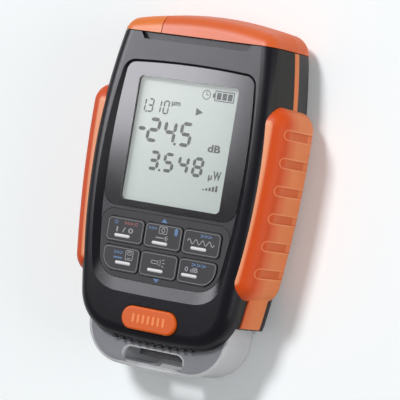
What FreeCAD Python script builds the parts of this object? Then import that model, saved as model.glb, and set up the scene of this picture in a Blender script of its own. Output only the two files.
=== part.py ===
import FreeCAD, Part
import math
import os
import re
import Sketcher

V = FreeCAD.Vector
doc = FreeCAD.newDocument("OpticalPowerMeter")

# ---------------------------------------------------------------------------
# Driving sizes, in millimetres and degrees.
# X runs across the meter, Y along it towards the ports, Z up from its back.
# Names that end in _x, _y or _z are places from the middle of the back.
# ---------------------------------------------------------------------------
SIZES = [
    # the outer form that the shells, covers and grips share
    ("split_z", 14.0), ("band_thick", 2.5), ("front_z", 28.8),
    ("dome_radius", 600.0), ("dome_y", 3.0), ("side_draft", 9.0),
    ("wide_half", 34.2), ("wide_y", 10.0),
    ("top_y", 58.6), ("top_corner_x", 29.4), ("top_corner_y", 55.2), ("top_corner_r", 6.0),
    ("foot_y", 51.2), ("foot_corner_x", 28.6), ("foot_corner_y", 49.0), ("foot_corner_r", 15.0),
    ("front_round", 5.0), ("rear_round", 8.0), ("wall", 2.0),
    # how the body is divided along its length
    ("body_end_y", 50.0), ("seam", 0.3), ("dock_y", 40.0), ("dock_wall", 1.8), ("hood_z", 21.5),
    ("ceiling_z", 24.6), ("fit", 0.15), ("seat", 0.02),
    # the tray in the front, for the window and the keypad
    ("panel_z", 27.0), ("panel_thick", 1.2), ("tray_rise", 2.2),
    ("tray_top_x", 23.8), ("tray_top_y", 39.9), ("tray_crown", 1.0),
    ("tray_foot_x", 22.0), ("tray_foot_y", 30.2), ("tray_toe", 0.5), ("tray_belly", 2.6),
    ("tray_top_r", 3.5), ("tray_foot_r", 8.0), ("rim_wide", 2.4),
    ("lip_wide", 14.6), ("lip_corner_r", 4.5),
    ("ridge_y", 7.7), ("ridge_thick", 1.0), ("window_corner_r", 5.0), ("keypad_corner_r", 4.5),
    ("view_half", 20.2), ("view_low_y", 6.2), ("view_high_y", 37.2),
    # the six keys
    ("key_gap", 0.5), ("key_wide", 14.0), ("key_tall", 8.0), ("key_row_y", 14.9), ("key_pitch_y", 9.4),
    ("key_proud", 0.4), ("key_thick", 1.1), ("key_margin", 1.5), ("key_fit", 0.25),
    ("key_corner_r", 1.4), ("stem_long", 5.0), ("stem_wide", 3.0), ("stem_fit", 0.4),
    ("dome_r", 2.6), ("dome_tall", 0.35), ("key_travel", 0.4),
    # the release button
    ("press_y", 42.2), ("press_half", 10.3), ("press_r", 3.8), ("press_top_z", 28.1),
    ("press_fit", 0.25), ("press_lip", 1.3), ("press_lip_thick", 1.0), ("press_seat_z", 23.9),
    ("press_travel", 1.0), ("press_edge_r", 0.7), ("latch_long", 8.0), ("latch_wide", 3.6), ("latch_z", 18.6),
    # teeth along the end of the front shell
    ("tooth_r", 0.8), ("tooth_pitch", 2.9), ("tooth_count", 11), ("tooth_tall", 1.8), ("tooth_inset", 1.4),
    # nail notch under the port covers
    ("notch_half", 21.5), ("notch_wide", 2.2), ("notch_z", 25.4),
    # port covers and their hinge
    ("cover_seam_x", 13.5), ("seam_wall", 1.2), ("hinge_y", 51.2), ("hinge_z", 2.5),
    ("barrel_r", 2.2), ("pin_r", 0.8), ("pin_fit", 0.06), ("relief", 0.4), ("relief_z", 5.1),
    ("ear_thick", 1.4), ("ear_r", 2.0), ("ear_left_x", 25.7), ("ear_right_x", 23.2), ("ear_fit", 0.25),
    ("shelf_thick", 1.8),
    # the port deck and what stands in it
    ("deck_y", 47.9), ("deck_thick", 2.0), ("port_z", 12.5),
    ("meter_x", 2.5), ("flange_r", 5.6), ("flange_thick", 1.2), ("barrel_out_r", 4.0),
    ("barrel_in_r", 2.9), ("barrel_long", 6.0), ("barrel_deep", 4.0), ("sleeve_r", 2.1),
    ("ferrule_r", 1.26), ("neck_r", 3.4), ("neck_long", 4.6),
    ("sensor_r", 3.9), ("sensor_long", 3.2),
    ("laser_x", 18.6), ("laser_out_r", 3.0), ("laser_long", 4.2), ("laser_flange_r", 4.6),
    ("laser_body_r", 3.9), ("laser_body_long", 18.0),
    ("jack_x", 14.6), ("jack_wide", 15.6), ("jack_tall", 13.2), ("jack_long", 18.0), ("jack_top_z", 18.8),
    ("plug_wide", 11.9), ("plug_tall", 7.0), ("plug_deep", 12.4), ("plug_low", 3.2),
    ("key_slot_wide", 6.2), ("key_slot_tall", 2.6), ("pin_pitch", 1.02), ("pin_wide", 0.4),
    # the board and the display
    ("board_top_z", 20.6), ("board_thick", 1.6), ("board_half", 23.3), ("board_low_y", 37.6),
    ("board_high_y", 45.8), ("post_r", 1.7), ("post_x", 21.3), ("post_low_y", 34.6), ("post_high_y", 43.0),
    ("lcd_half", 21.4), ("lcd_low_y", 7.6), ("lcd_high_y", 38.8), ("lcd_thick", 1.3), ("lcd_gap", 0.1),
    # bosses and screws that hold the shells together
    ("boss_x", 26.4), ("boss_low_y", 33.2), ("boss_high_y", 43.4), ("boss_r", 2.35), ("screw_r", 1.2),
    ("screw_head_r", 2.1), ("screw_fit", 0.05), ("sink_r", 2.5), ("sink_z", 7.5), ("head_tall", 1.6),
    ("screw_end_z", 19.0),
    # batteries, their bay and their door
    ("cell_r", 5.25), ("cell_long", 44.5), ("cell_gap", 0.6), ("cell_z", 7.3), ("cell_mid_y", 11.3),
    ("bay_wall", 1.4), ("bay_fit", 0.7), ("contact_thick", 0.4), ("spring_r", 2.6), ("spring_long", 1.4),
    ("door_thick", 1.5), ("door_fit", 0.25), ("door_lap", 1.2), ("tab_long", 2.0), ("tab_wide", 7.0),
    ("tab_thick", 1.0), ("tab_x", 10.0), ("back_inset", 0.2),
    # grips
    ("grip_r", 360.0), ("grip_half", 36.87), ("grip_mid_y", 20.0), ("grip_top_y", 32.0),
    ("grip_low_y", 31.0), ("grip_back_z", 2.6), ("grip_front_z", 27.2), ("grip_root_x", 22.0),
    ("grip_end_r", 6.5), ("grip_edge_r", 5.5), ("grip_sink", 0.8),
    ("slot_pitch", 8.95), ("slot_first_y", 23.5), ("slot_wide", 2.7), ("slot_deep", 0.8), ("slot_count", 6),
    ("slot_low_z", 5.0), ("slot_high_z", 21.8),
    ("strap_low_z", 9.6), ("strap_high_z", 20.2), ("strap_end_y", 39.6), ("strap_proud", 0.5),
    # the clip-on cable tester at the foot
    ("tester_half", 26.8), ("tester_sag", 1.6), ("tester_corner_y", 57.0),
    ("tester_corner_x", 26.0), ("tester_corner_r", 13.5), ("tester_low_z", 1.6), ("tester_top_z", 21.3),
    ("tester_edge_r", 5.5), ("tester_bevel", 0.8), ("tester_wall", 1.6), ("dock_gap", 0.2),
    ("lid_thick", 1.4),
    ("arch_half", 11.5), ("arch_top_y", 51.9), ("arch_end_y", 56.7), ("arch_corner_r", 2.8),
    ("socket_face_y", 54.2), ("socket_top_z", 16.6), ("socket_half", 7.9), ("socket_long", 12.6),
    ("socket_low_z", 3.2),
    ("peg_x", 18.5), ("peg_wide", 4.0), ("peg_long", 4.0), ("peg_low_z", 6.5), ("peg_high_z", 9.5),
    ("peg_fit", 0.3),
    ("torch_x", 12.6), ("torch_z", 14.0), ("torch_r", 2.5), ("torch_rim_r", 2.9), ("torch_long", 2.9),
    ("torch_rim", 1.0), ("torch_lens", 2.8),
]

sizes = doc.addObject("Spreadsheet::Sheet", "Sizes")
for row, (alias, number) in enumerate(SIZES, start=1):
    sizes.set("A%d" % row, alias)
    sizes.set("B%d" % row, repr(number))
    sizes.setAlias("B%d" % row, alias)
doc.recompute()

FUNCTIONS = {"sqrt", "sin", "cos", "tan", "min", "max", "abs"}


def bound(text):
    """Point every size name in an expression at the sheet."""
    return re.sub(r"[a-z][a-z_0-9]*",
                  lambda word: word.group(0) if word.group(0) in FUNCTIONS
                  else "Sizes." + word.group(0), text)


ruler = doc.addObject("App::FeaturePython", "Ruler")


def size(text):
    """The present value of an expression of sizes."""
    return float(ruler.evalExpression(bound(text)))


def body(label):
    """An empty body with its own label."""
    made = doc.addObject("PartDesign::Body", label)
    made.Label = label
    return made


def sketch(owner, name, plane="XY", lift="0"):
    """A sketch on one of the body's origin planes, raised along the plane's normal."""
    made = owner.newObject("Sketcher::SketchObject", name)
    for feature in owner.Origin.OriginFeatures:
        if feature.Role == plane + "_Plane":
            made.AttachmentSupport = [(feature, "")]
    made.MapMode = "FlatFace"
    made.setExpression(".AttachmentOffset.Base.z", bound(lift))
    return made


def tie(made, kind, geometry, point, text):
    """Hold one coordinate of a point at an expression of sizes."""
    index = made.addConstraint(
        Sketcher.Constraint(kind, -1, 1, geometry, point, size(text)))
    made.setExpression("Constraints[%d]" % index, bound(text))


def profile(made, corners):
    """Close a profile through corners (x, y, arc radius or None, bulge side).

    The radius and side describe the edge that leaves the corner: +1 bulges to the
    right of the way it runs, -1 to the left.
    """
    spots = [V(size(c[0]), size(c[1]), 0) for c in corners]
    first = []
    last = []
    for index, corner in enumerate(corners):
        start = spots[index]
        end = spots[(index + 1) % len(spots)]
        if len(corner) == 2:
            edge = made.addGeometry(Part.LineSegment(start, end), False)
            first.append((edge, 1))
            last.append((edge, 2))
            continue
        radius = size(corner[2])
        chord = end - start
        outward = V(chord.y, -chord.x, 0).normalize() * corner[3]
        centre = (start + end) * 0.5 - outward * math.sqrt(radius ** 2 - (chord.Length / 2) ** 2)
        clockwise = corner[3] < 0
        turns = [math.atan2(spot.y - centre.y, spot.x - centre.x)
                 for spot in ((end, start) if clockwise else (start, end))]
        if turns[1] < turns[0]:
            turns[1] += 2 * math.pi
        edge = made.addGeometry(
            Part.ArcOfCircle(Part.Circle(centre, V(0, 0, 1), radius), *turns), False)
        first.append((edge, 2 if clockwise else 1))
        last.append((edge, 1 if clockwise else 2))
        index = made.addConstraint(Sketcher.Constraint("Radius", edge, radius))
        made.setExpression("Constraints[%d]" % index, bound(corner[2]))
    for index, corner in enumerate(corners):
        made.addConstraint(Sketcher.Constraint(
            "Coincident", *last[index - 1], *first[index]))
        tie(made, "DistanceX", *first[index], corner[0])
        tie(made, "DistanceY", *first[index], corner[1])


def pad(owner, drawn, length, reverse=False, draft=None, middle=False):
    """Add the sketched profile, straight or drawn in by a draft."""
    made = owner.newObject("PartDesign::Pad", drawn.Name + "_pad")
    made.Profile = drawn
    made.setExpression("Length", bound(length))
    made.Reversed = reverse
    made.Midplane = middle
    if draft:
        made.setExpression("TaperAngle", bound(draft))
    return made


def pocket(owner, drawn, length, reverse=False, middle=False):
    """Take the sketched profile away."""
    made = owner.newObject("PartDesign::Pocket", drawn.Name + "_pocket")
    made.Profile = drawn
    made.setExpression("Length", bound(length))
    made.Reversed = reverse
    made.Midplane = middle
    return made


def fillet(owner, radius, wanted):
    """Round those edges of the body's last feature that the test picks."""
    doc.recompute()
    base = owner.Tip
    names = ["Edge%d" % (index + 1) for index, edge in enumerate(base.Shape.Edges)
             if wanted(edge)]
    made = owner.newObject("PartDesign::Fillet", base.Name + "_round")
    made.Base = (base, names)
    made.setExpression("Radius", bound(radius))
    return made


def box(label, x, y, z):
    """A block between pairs of places along X, Y and Z."""
    made = doc.addObject("Part::Box", label)
    for edge, axis, (low, high) in zip(("Length", "Width", "Height"), "xyz", (x, y, z)):
        made.setExpression(edge, bound("(%s)-(%s)" % (high, low)))
        made.setExpression("Placement.Base." + axis, bound(low))
    return made


TURNS = {"x": FreeCAD.Rotation(V(0, 1, 0), 90), "y": FreeCAD.Rotation(V(1, 0, 0), -90),
         "z": FreeCAD.Rotation()}


def rod(label, along, start, radius, length):
    """A cylinder that runs up X, Y or Z from its start."""
    made = doc.addObject("Part::Cylinder", label)
    made.Placement = FreeCAD.Placement(V(), TURNS[along])
    made.setExpression("Radius", bound(radius))
    made.setExpression("Height", bound(length))
    for axis, place in zip("xyz", start):
        made.setExpression("Placement.Base." + axis, bound(place))
    return made


def join(label, pieces):
    made = doc.addObject("Part::MultiFuse", label)
    made.Shapes = pieces
    return made


def cut(label, base, tools):
    """The base without the tools."""
    made = doc.addObject("Part::Cut", label)
    made.Base = base
    made.Tool = tools[0] if len(tools) == 1 else join(label + "_tools", tools)
    return made


def shared(label, first, second):
    made = doc.addObject("Part::Common", label)
    made.Base = first
    made.Tool = second
    return made


def mirrored(label, source):
    """The same piece on the other side of the meter."""
    made = doc.addObject("Part::Mirroring", label)
    made.Source = source
    made.Normal = V(1, 0, 0)
    return made


def rectangle(made, x, y):
    profile(made, [(x[0], y[0]), (x[1], y[0]), (x[1], y[1]), (x[0], y[1])])


def along(axis, edge):
    """Whether a straight edge runs along X, Y or Z."""
    box_of = edge.BoundBox
    spans = {"x": box_of.XLength, "y": box_of.YLength, "z": box_of.ZLength}
    rest = sum(value for name, value in spans.items() if name != axis)
    return spans[axis] > 0.05 and rest < 0.01


# ---------------------------------------------------------------------------
# The outer form, whole and drawn in
# ---------------------------------------------------------------------------
def bulge(half_chord, sagitta):
    """The radius of an arc from its half chord and its rise."""
    return "(((%s)^2+(%s)^2)/(2*(%s)))" % (half_chord, sagitta, sagitta)


def form_corners(inset):
    """The waisted plan, drawn in by an inset, as six corners joined by arcs."""
    crown = bulge("top_corner_x-" + inset, "top_y-top_corner_y")
    shoulder = bulge("top_corner_y-%s-wide_y" % inset, "wide_half-top_corner_x")
    flank = bulge("foot_corner_y-%s+wide_y" % inset, "wide_half-foot_corner_x")
    foot = bulge("foot_corner_x-" + inset, "foot_y-foot_corner_y")
    top_x, top_y = "(top_corner_x-%s)" % inset, "top_corner_y-" + inset
    foot_x, foot_y = "(foot_corner_x-%s)" % inset, "-(foot_corner_y-%s)" % inset
    wide_x = "(wide_half-%s)" % inset
    return [("-" + top_x, top_y, crown, -1), (top_x, top_y, shoulder, -1),
            (wide_x, "wide_y", flank, -1), (foot_x, foot_y, foot, -1),
            ("-" + foot_x, foot_y, flank, -1), ("-" + wide_x, "wide_y", shoulder, -1)]


def form(label, inset):
    """The meter's outer form drawn in by an inset: a waisted plan with drafted upper
    sides, a front that falls away to both ends, and rounded edges."""
    made = body(label)
    plan = sketch(made, label + "_plan", "XY", "split_z")
    profile(plan, form_corners(inset))
    pad(made, plan, "front_z-split_z+2", draft="-side_draft")
    under = sketch(made, label + "_under", "XY", "split_z")
    profile(under, form_corners(inset))
    pad(made, under, "split_z-" + inset, reverse=True)
    side = sketch(made, label + "_side", "YZ")
    fall = "front_z-%s-(dome_radius-sqrt(dome_radius^2-100^2))" % inset
    profile(side, [("dome_y-100", "front_z+40"), ("dome_y+100", "front_z+40"),
                   ("dome_y+100", fall, "dome_radius", 1), ("dome_y-100", fall)])
    pocket(made, side, "6*wide_half", middle=True)

    def upright(edge):
        span = edge.BoundBox
        return span.ZLength > 8 and span.XLength < 4 and span.YLength < 4

    fillet(made, "top_corner_r-" + inset, lambda edge: upright(edge) and edge.BoundBox.YMin > 40)
    fillet(made, "foot_corner_r-" + inset, lambda edge: upright(edge) and edge.BoundBox.YMax < -30)
    fillet(made, "front_round-" + inset, lambda edge: edge.BoundBox.ZMin > size("split_z+5"))
    fillet(made, "rear_round-" + inset, lambda edge: edge.BoundBox.ZMax < size(inset) + 0.1)
    return made


FAR = "80"
full_form = form("full_form", "0")
skin_form = form("skin_form", "grip_sink")
hollow_form = form("hollow_form", "wall")
deck_form = form("deck_form", "(wall+fit)")
NODES = []


def node(label, made):
    """Give a finished piece its name."""
    made.Label = label
    NODES.append(made)
    return made


# ---------------------------------------------------------------------------
# The grips, each with its line up to the covers and its strap down to the foot
# ---------------------------------------------------------------------------
def grip_block():
    """The soft pad as a block: its outer face is an arc along the meter, its ends
    and edges are rounded, and six slots follow the arc. Its frame is the arc's centre."""
    made = body("grip_block")
    made.setExpression("Placement.Base.x", bound("grip_half-grip_r"))
    made.setExpression("Placement.Base.y", bound("grip_mid_y"))
    plan = sketch(made, "grip_plan", "XY", "grip_back_z")
    root = "grip_root_x-grip_half+grip_r"
    high, low = "(grip_top_y-grip_mid_y)", "(-grip_low_y-grip_mid_y)"
    outer = "sqrt(grip_r^2-%s^2)"
    profile(plan, [(root, low), (outer % low, low, "grip_r", 1), (outer % high, high), (root, high)])
    pad(made, plan, "grip_front_z-grip_back_z")
    fillet(made, "grip_end_r", lambda edge: along("x", edge))

    def rim(edge):
        middle = edge.valueAt((edge.FirstParameter + edge.LastParameter) / 2)
        return middle.x > size("grip_r-5") and edge.BoundBox.XMin > size("grip_r-6")

    fillet(made, "grip_edge_r", rim)
    return made


def slot_bars():
    """Six round-ended bars spaced along the grip's arc, to sink the slots."""
    made = body("slot_bars")
    made.setExpression("Placement.Base.x", bound("grip_half-grip_r"))
    made.setExpression("Placement.Base.y", bound("grip_mid_y"))
    made.setExpression("Placement.Rotation.Angle", bound("(slot_first_y-grip_mid_y)/grip_r*180/3.14159265"))
    plan = sketch(made, "slot_plan", "YZ", "grip_r-slot_deep")
    rectangle(plan, ("-slot_wide/2", "slot_wide/2"), ("slot_low_z", "slot_high_z"))
    pad(made, plan, "4")
    round_end = fillet(made, "0.48*slot_wide", lambda edge: along("x", edge))
    doc.recompute()
    row = made.newObject("PartDesign::PolarPattern", "slot_row")
    row.Originals = [plan.InList[0], round_end]
    row.Axis = ([f for f in made.Origin.OriginFeatures if f.Role == "Z_Axis"][0], [""])
    row.Reversed = True
    row.setExpression("Angle", bound("(slot_count-1)*slot_pitch/grip_r*180/3.14159265"))
    row.setExpression("Occurrences", bound("slot_count"))
    made.Tip = row
    return made


block = grip_block()
bars = slot_bars()
line = box("line_zone", ("20", FAR), ("-strap_end_y", "body_end_y"),
           ("split_z-band_thick/2", "split_z+band_thick/2"))
strap = box("strap_zone", ("20", FAR), ("-strap_end_y", "-grip_low_y+2"), ("strap_low_z", "strap_high_z"))
strap_form = form("strap_form", "(-strap_proud)")
ring = cut("ring", full_form, [hollow_form])
band_line = shared("band_line", ring, line)
band_strap = shared("band_strap", cut("strap_ring", strap_form, [skin_form]), strap)
pad_blank = cut("pad_blank", block, [skin_form])
right_grip = node("right_grip", join("right_grip_made",
                                     [cut("pad_slotted", pad_blank, [bars]), band_line, band_strap]))
left_grip = node("left_grip", mirrored("left_grip_made", right_grip))
right_room = join("right_room", [pad_blank, band_strap])
left_room = mirrored("left_room", right_room)


# ---------------------------------------------------------------------------
# The tray in the front: its bevelled rim, the window and the keypad
# ---------------------------------------------------------------------------
def tray_corners(grow, foot_grow):
    """The tray's plan: a crowned top, bellied sides and a narrower foot."""
    top_x, top_y = "(tray_top_x+%s)" % grow, "(tray_top_y+%s)" % grow
    foot_x, foot_y = "(tray_foot_x+%s)" % grow, "(tray_foot_y+%s)" % foot_grow
    side = bulge("sqrt((%s+%s)^2+(%s-%s)^2)/2" % (top_y, foot_y, top_x, foot_x), "tray_belly")
    crown = bulge(top_x, "tray_crown")
    toe = bulge(foot_x, "tray_toe")
    return [("-" + top_x, top_y, crown, -1), (top_x, top_y, side, -1),
            (foot_x, "-" + foot_y, toe, -1), ("-" + foot_x, "-" + foot_y, side, -1)]


def tray_plate(label, grow, z, foot_grow=None, foot_r="tray_foot_r"):
    """A plate with the tray's plan, grown, and grown further at the foot where asked."""
    foot_grow = foot_grow or grow
    made = body(label)
    plan = sketch(made, label + "_plan", "XY", z[0])
    profile(plan, tray_corners(grow, foot_grow))
    pad(made, plan, "(%s)-(%s)" % (z[1], z[0]))
    fillet(made, "tray_top_r+" + grow, lambda edge: along("z", edge) and edge.BoundBox.YMin > 0)
    fillet(made, foot_r + "+" + grow, lambda edge: along("z", edge) and edge.BoundBox.YMax < 0
           and edge.BoundBox.YMax > -size("tray_foot_y+%s+1" % foot_grow))
    return made


def tray_rim():
    """The bevel that opens from the tray's floor up to the front: steep at the top and
    sides, and a wide, shallow slope below the keypad."""
    doc.recompute()
    floor = max(panel_room.Shape.Faces, key=lambda face: face.CenterOfMass.z).OuterWire
    edge = min(rim_top.Shape.Faces, key=lambda face: face.CenterOfMass.z).OuterWire
    made = doc.addObject("Part::Feature", "tray_rim")
    made.Shape = Part.makeLoft([floor, edge], True, True)
    return made


def tray_side(y):
    """The tray's half width at a place along it."""
    along_it = "((2*(%s)-tray_top_y+tray_foot_y)/(tray_top_y+tray_foot_y))" % y
    straight = "(tray_top_x+tray_foot_x+(tray_top_x-tray_foot_x)*%s)/2" % along_it
    return "(%s+tray_belly*(1-%s^2))" % (straight, along_it)


def ridge(label, grow):
    """The bar between the window and the keypad: it flares at its ends around the
    window's and the keypad's rounded corners."""
    made = body(label)
    plan = sketch(made, label + "_plan", "XY", "panel_z-panel_thick-1")
    high, low = "(-ridge_y+ridge_thick/2)", "(-ridge_y-ridge_thick/2)"
    high_end, low_end = high + "+window_corner_r", low + "-keypad_corner_r"
    right, left = [], []
    for side, row in (("", right), ("-", left)):
        window_x, keypad_x = tray_side(high_end), tray_side(low_end)
        row.append((side + "(%s-window_corner_r)" % window_x, high + "+" + grow))
        row.append((side + "(%s-%s)" % (window_x, grow), high_end))
        row.append((side + "40", high_end))
        row.append((side + "40", low_end))
        row.append((side + "(%s-%s)" % (keypad_x, grow), low_end))
        row.append((side + "(%s-keypad_corner_r)" % keypad_x, low + "-" + grow))
    window_r, keypad_r = "window_corner_r-" + grow, "keypad_corner_r-" + grow
    right[0] += (window_r, 1)
    right[4] += (keypad_r, 1)
    left[5] += (keypad_r, 1)
    left[1] += (window_r, 1)
    profile(plan, right + left[::-1])
    pad(made, plan, "panel_thick+1")
    return made


panel_room = tray_plate("panel_room", "0", ("panel_z-panel_thick", "panel_z"))
rim_top = tray_plate("rim_top", "rim_wide", ("panel_z+tray_rise", "panel_z+tray_rise+1"),
                     "lip_wide", "lip_corner_r+tray_foot_r")
rim = tray_rim()
panel_pocket = cut("panel_pocket", panel_room, [ridge("ridge_form", "0")])
plate = cut("plate", tray_plate("panel_plate", "(-fit)", ("panel_z-panel_thick", "panel_z")),
            [ridge("ridge_room", "fit")])
window_zone = box("window_zone", ("-40", "40"), ("-ridge_y", FAR), ("0", "40"))
display_window = node("display_window", shared("display_window_made", plate, window_zone))
keypad_zone = box("keypad_zone", ("-40", "40"), ("-" + FAR, "-ridge_y"), ("0", "40"))
key_plate = tray_plate("key_plate", "(-key_margin)", ("panel_z+key_proud-key_thick", "panel_z+key_proud"))
hole_plate = tray_plate("hole_plate", "(key_fit-key_margin)", ("panel_z-panel_thick-1", "panel_z+1"))
KEYS = [("key_power", -1, 0), ("key_laser", 0, 0), ("key_wavelength", 1, 0),
        ("key_save", -1, 1), ("key_torch", 0, 1), ("key_reference", 1, 1)]


def key_zone(label, column, row, grow, z):
    """The column and row of one key, with rounded corners."""
    made = body(label)
    plan = sketch(made, label + "_plan", "XY", z[0])
    middle = "%d*(key_wide+key_gap)" % column
    line_y = "(-key_row_y-%d*key_pitch_y)" % row
    reach = "(%s)" % grow
    rectangle(plan, (middle + "-key_wide/2-" + reach, middle + "+key_wide/2+" + reach),
              (line_y + "-key_tall/2-" + reach, line_y + "+key_tall/2+" + reach))
    pad(made, plan, "(%s)-(%s)" % (z[1], z[0]))
    fillet(made, "key_corner_r+" + reach, lambda edge: along("z", edge))
    return made


def stem(label, column, row, grow, z):
    """The post under a key that presses its dome."""
    middle = "%d*(key_wide+key_gap)" % column
    line_y = "(-key_row_y-%d*key_pitch_y)" % row
    return box(label, (middle + "-stem_long/2-" + grow, middle + "+stem_long/2+" + grow),
               (line_y + "-stem_wide/2-" + grow, line_y + "+stem_wide/2+" + grow), z)


key_holes = []
stem_holes = []
domes = []
DOME_TOP = "board_top_z+dome_tall"
for name, column, row in KEYS:
    zone = key_zone(name + "_zone", column, row, "0",
                    ("panel_z+key_proud-key_thick", "panel_z+key_proud"))
    cap = shared(name + "_cap", key_plate, zone)
    post = stem(name + "_post", column, row, "0",
                (DOME_TOP + "+key_travel+0.1", "panel_z+key_proud-key_thick"))
    node(name, join(name + "_made", [cap, post]))
    key_holes.append(shared(name + "_hole", hole_plate,
                            key_zone(name + "_room", column, row, "key_fit", ("panel_z-3", "panel_z+3"))))
    stem_holes.append(stem(name + "_well", column, row, "stem_fit",
                           ("ceiling_z-1", "panel_z-panel_thick+1")))
    domes.append(rod(name + "_dome", "z", ("%d*(key_wide+key_gap)" % column,
                                          "(-key_row_y-%d*key_pitch_y)" % row, "board_top_z"),
                     "dome_r", "dome_tall"))
keypad_frame = node("keypad_frame", cut("keypad_frame_made", shared("keypad_blank", plate, keypad_zone),
                                        key_holes))
key_domes = doc.addObject("Part::Compound", "key_domes")
key_domes.Links = domes
node("key_domes", key_domes)


# ---------------------------------------------------------------------------
# The release button, a pill in the hood over the tester
# ---------------------------------------------------------------------------
def pill(label, grow, low_z, high_z, edge_r=None):
    """A round-ended plate about the button's middle."""
    made = body(label)
    plan = sketch(made, label + "_plan", "XY", low_z)
    half, tall = "(press_half+%s)" % grow, "(press_r+%s)" % grow
    rectangle(plan, ("-" + half, half), ("-press_y-" + tall, "-press_y+" + tall))
    pad(made, plan, "(%s)-(%s)" % (high_z, low_z))
    fillet(made, "0.98*" + tall, lambda edge: along("z", edge))
    if edge_r:
        fillet(made, edge_r, lambda edge: edge.BoundBox.ZMin > size(high_z) - 0.01)
    return made


LATCH = ("-latch_long/2", "latch_long/2"), ("-press_y-latch_wide/2", "-press_y+latch_wide/2")
release_button = node("release_button", join("release_button_made", [
    pill("press_cap", "0", "press_seat_z-press_lip_thick", "press_top_z", "press_edge_r"),
    pill("press_lip_plate", "press_lip", "press_seat_z-press_lip_thick", "press_seat_z"),
    box("press_post", *LATCH, ("latch_z", "press_seat_z-press_lip_thick")),
]))
press_hole = pill("press_hole", "press_fit", "hood_z-2", "front_z+2")
press_well = pill("press_well", "(press_lip+press_fit)", "hood_z-0.01", "press_seat_z")


# ---------------------------------------------------------------------------
# The front shell
# ---------------------------------------------------------------------------
def corners_of(x, low_y, high_y):
    """Four places, mirrored across the meter."""
    return [(side + x, place) for side in ("-", "") for place in ("-" + low_y, high_y)]


def tooth_row():
    """Upright half-round teeth along the front shell's foot, spaced on its arc."""
    made = body("tooth_row")
    arc = bulge("foot_corner_x", "foot_y-foot_corner_y")
    reach = "(%s-tooth_inset)" % arc
    made.setExpression("Placement.Base.y", bound("%s-foot_y" % arc))
    made.setExpression("Placement.Rotation.Angle",
                       bound("-(tooth_count-1)/2*tooth_pitch/%s*180/3.14159265" % reach))
    plan = sketch(made, "tooth_plan", "XY", "hood_z")
    index = plan.addGeometry(Part.Circle(V(0, -size(reach), 0), V(0, 0, 1), size("tooth_r")), False)
    tie(plan, "DistanceX", index, 3, "0*tooth_r")
    tie(plan, "DistanceY", index, 3, "-" + reach)
    radius = plan.addConstraint(Sketcher.Constraint("Radius", index, size("tooth_r")))
    plan.setExpression("Constraints[%d]" % radius, bound("tooth_r"))
    pad(made, plan, "tooth_tall")
    doc.recompute()
    row = made.newObject("PartDesign::PolarPattern", "tooth_pattern")
    row.Originals = [made.Tip]
    row.Axis = ([f for f in made.Origin.OriginFeatures if f.Role == "Z_Axis"][0], [""])
    row.setExpression("Angle", bound("(tooth_count-1)*tooth_pitch/%s*180/3.14159265" % reach))
    row.setExpression("Occurrences", bound("tooth_count"))
    made.Tip = row
    return made


def nail_notch():
    """The scoop below the port covers' lower edge, for a finger nail."""
    made = body("nail_notch")
    plan = sketch(made, "notch_plan", "XY", "notch_z")
    profile(plan, [("-notch_half+notch_wide", "body_end_y-notch_wide"),
                   ("notch_half-notch_wide", "body_end_y-notch_wide"),
                   ("notch_half", "body_end_y+1"), ("-notch_half", "body_end_y+1")])
    pad(made, plan, "10")
    return made


front_zone = box("front_zone", ("-" + FAR, FAR), ("-" + FAR, "body_end_y"), ("split_z+band_thick/2", "60"))
front_core = shared("front_core", hollow_form, box(
    "front_core_zone", ("-" + FAR, FAR), ("-dock_y+dock_wall", FAR), ("0", "ceiling_z")))
front_bosses = [rod("front_boss_%d" % index, "z", (x, y, "split_z-band_thick/2+0.1"), "boss_r",
                    "ceiling_z-split_z+band_thick/2")
                for index, (x, y) in enumerate(corners_of("boss_x", "boss_low_y", "boss_high_y"))]
board_posts = [rod("board_post_%d" % index, "z", (x, y, "board_top_z"), "post_r", "ceiling_z-board_top_z+0.5")
               for index, (x, y) in enumerate(corners_of("post_x", "post_low_y", "post_high_y"))]
screw_pilots = [rod("screw_pilot_%d" % index, "z", (x, y, "sink_z-1"), "screw_r+screw_fit",
                    "screw_end_z-sink_z+1.4")
                for index, (x, y) in enumerate(corners_of("boss_x", "boss_low_y", "boss_high_y"))]
view_hole = box("view_hole", ("-view_half", "view_half"), ("-view_low_y", "view_high_y"),
                ("ceiling_z-2", "panel_z"))
dock_filler = shared("dock_filler", deck_form, box(
    "dock_filler_zone", ("-" + FAR, FAR), ("-dock_y", "-dock_y+dock_wall"),
    ("split_z-band_thick/2+0.1", "split_z+band_thick/2+0.1")))
torch_hole = rod("torch_hole", "y", ("-torch_x", "-dock_y-1", "torch_z"), "torch_r+0.05", "dock_wall+2")
under_hood = box("under_hood", ("-" + FAR, FAR), ("-" + FAR, "-dock_y"), ("-5", "hood_z"))
front_skin = cut("front_skin", shared("front_blank", full_form, front_zone),
                 [front_core, rim, panel_pocket, view_hole, under_hood, press_hole, press_well,
                  nail_notch(), right_room, left_room] + stem_holes)
front_shell = node("front_shell", cut("front_shell_made", join("front_filled", [
    front_skin, shared("front_posts", full_form, join("front_post_set", front_bosses + board_posts)),
    tooth_row(), dock_filler]), [torch_hole] + screw_pilots))

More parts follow.
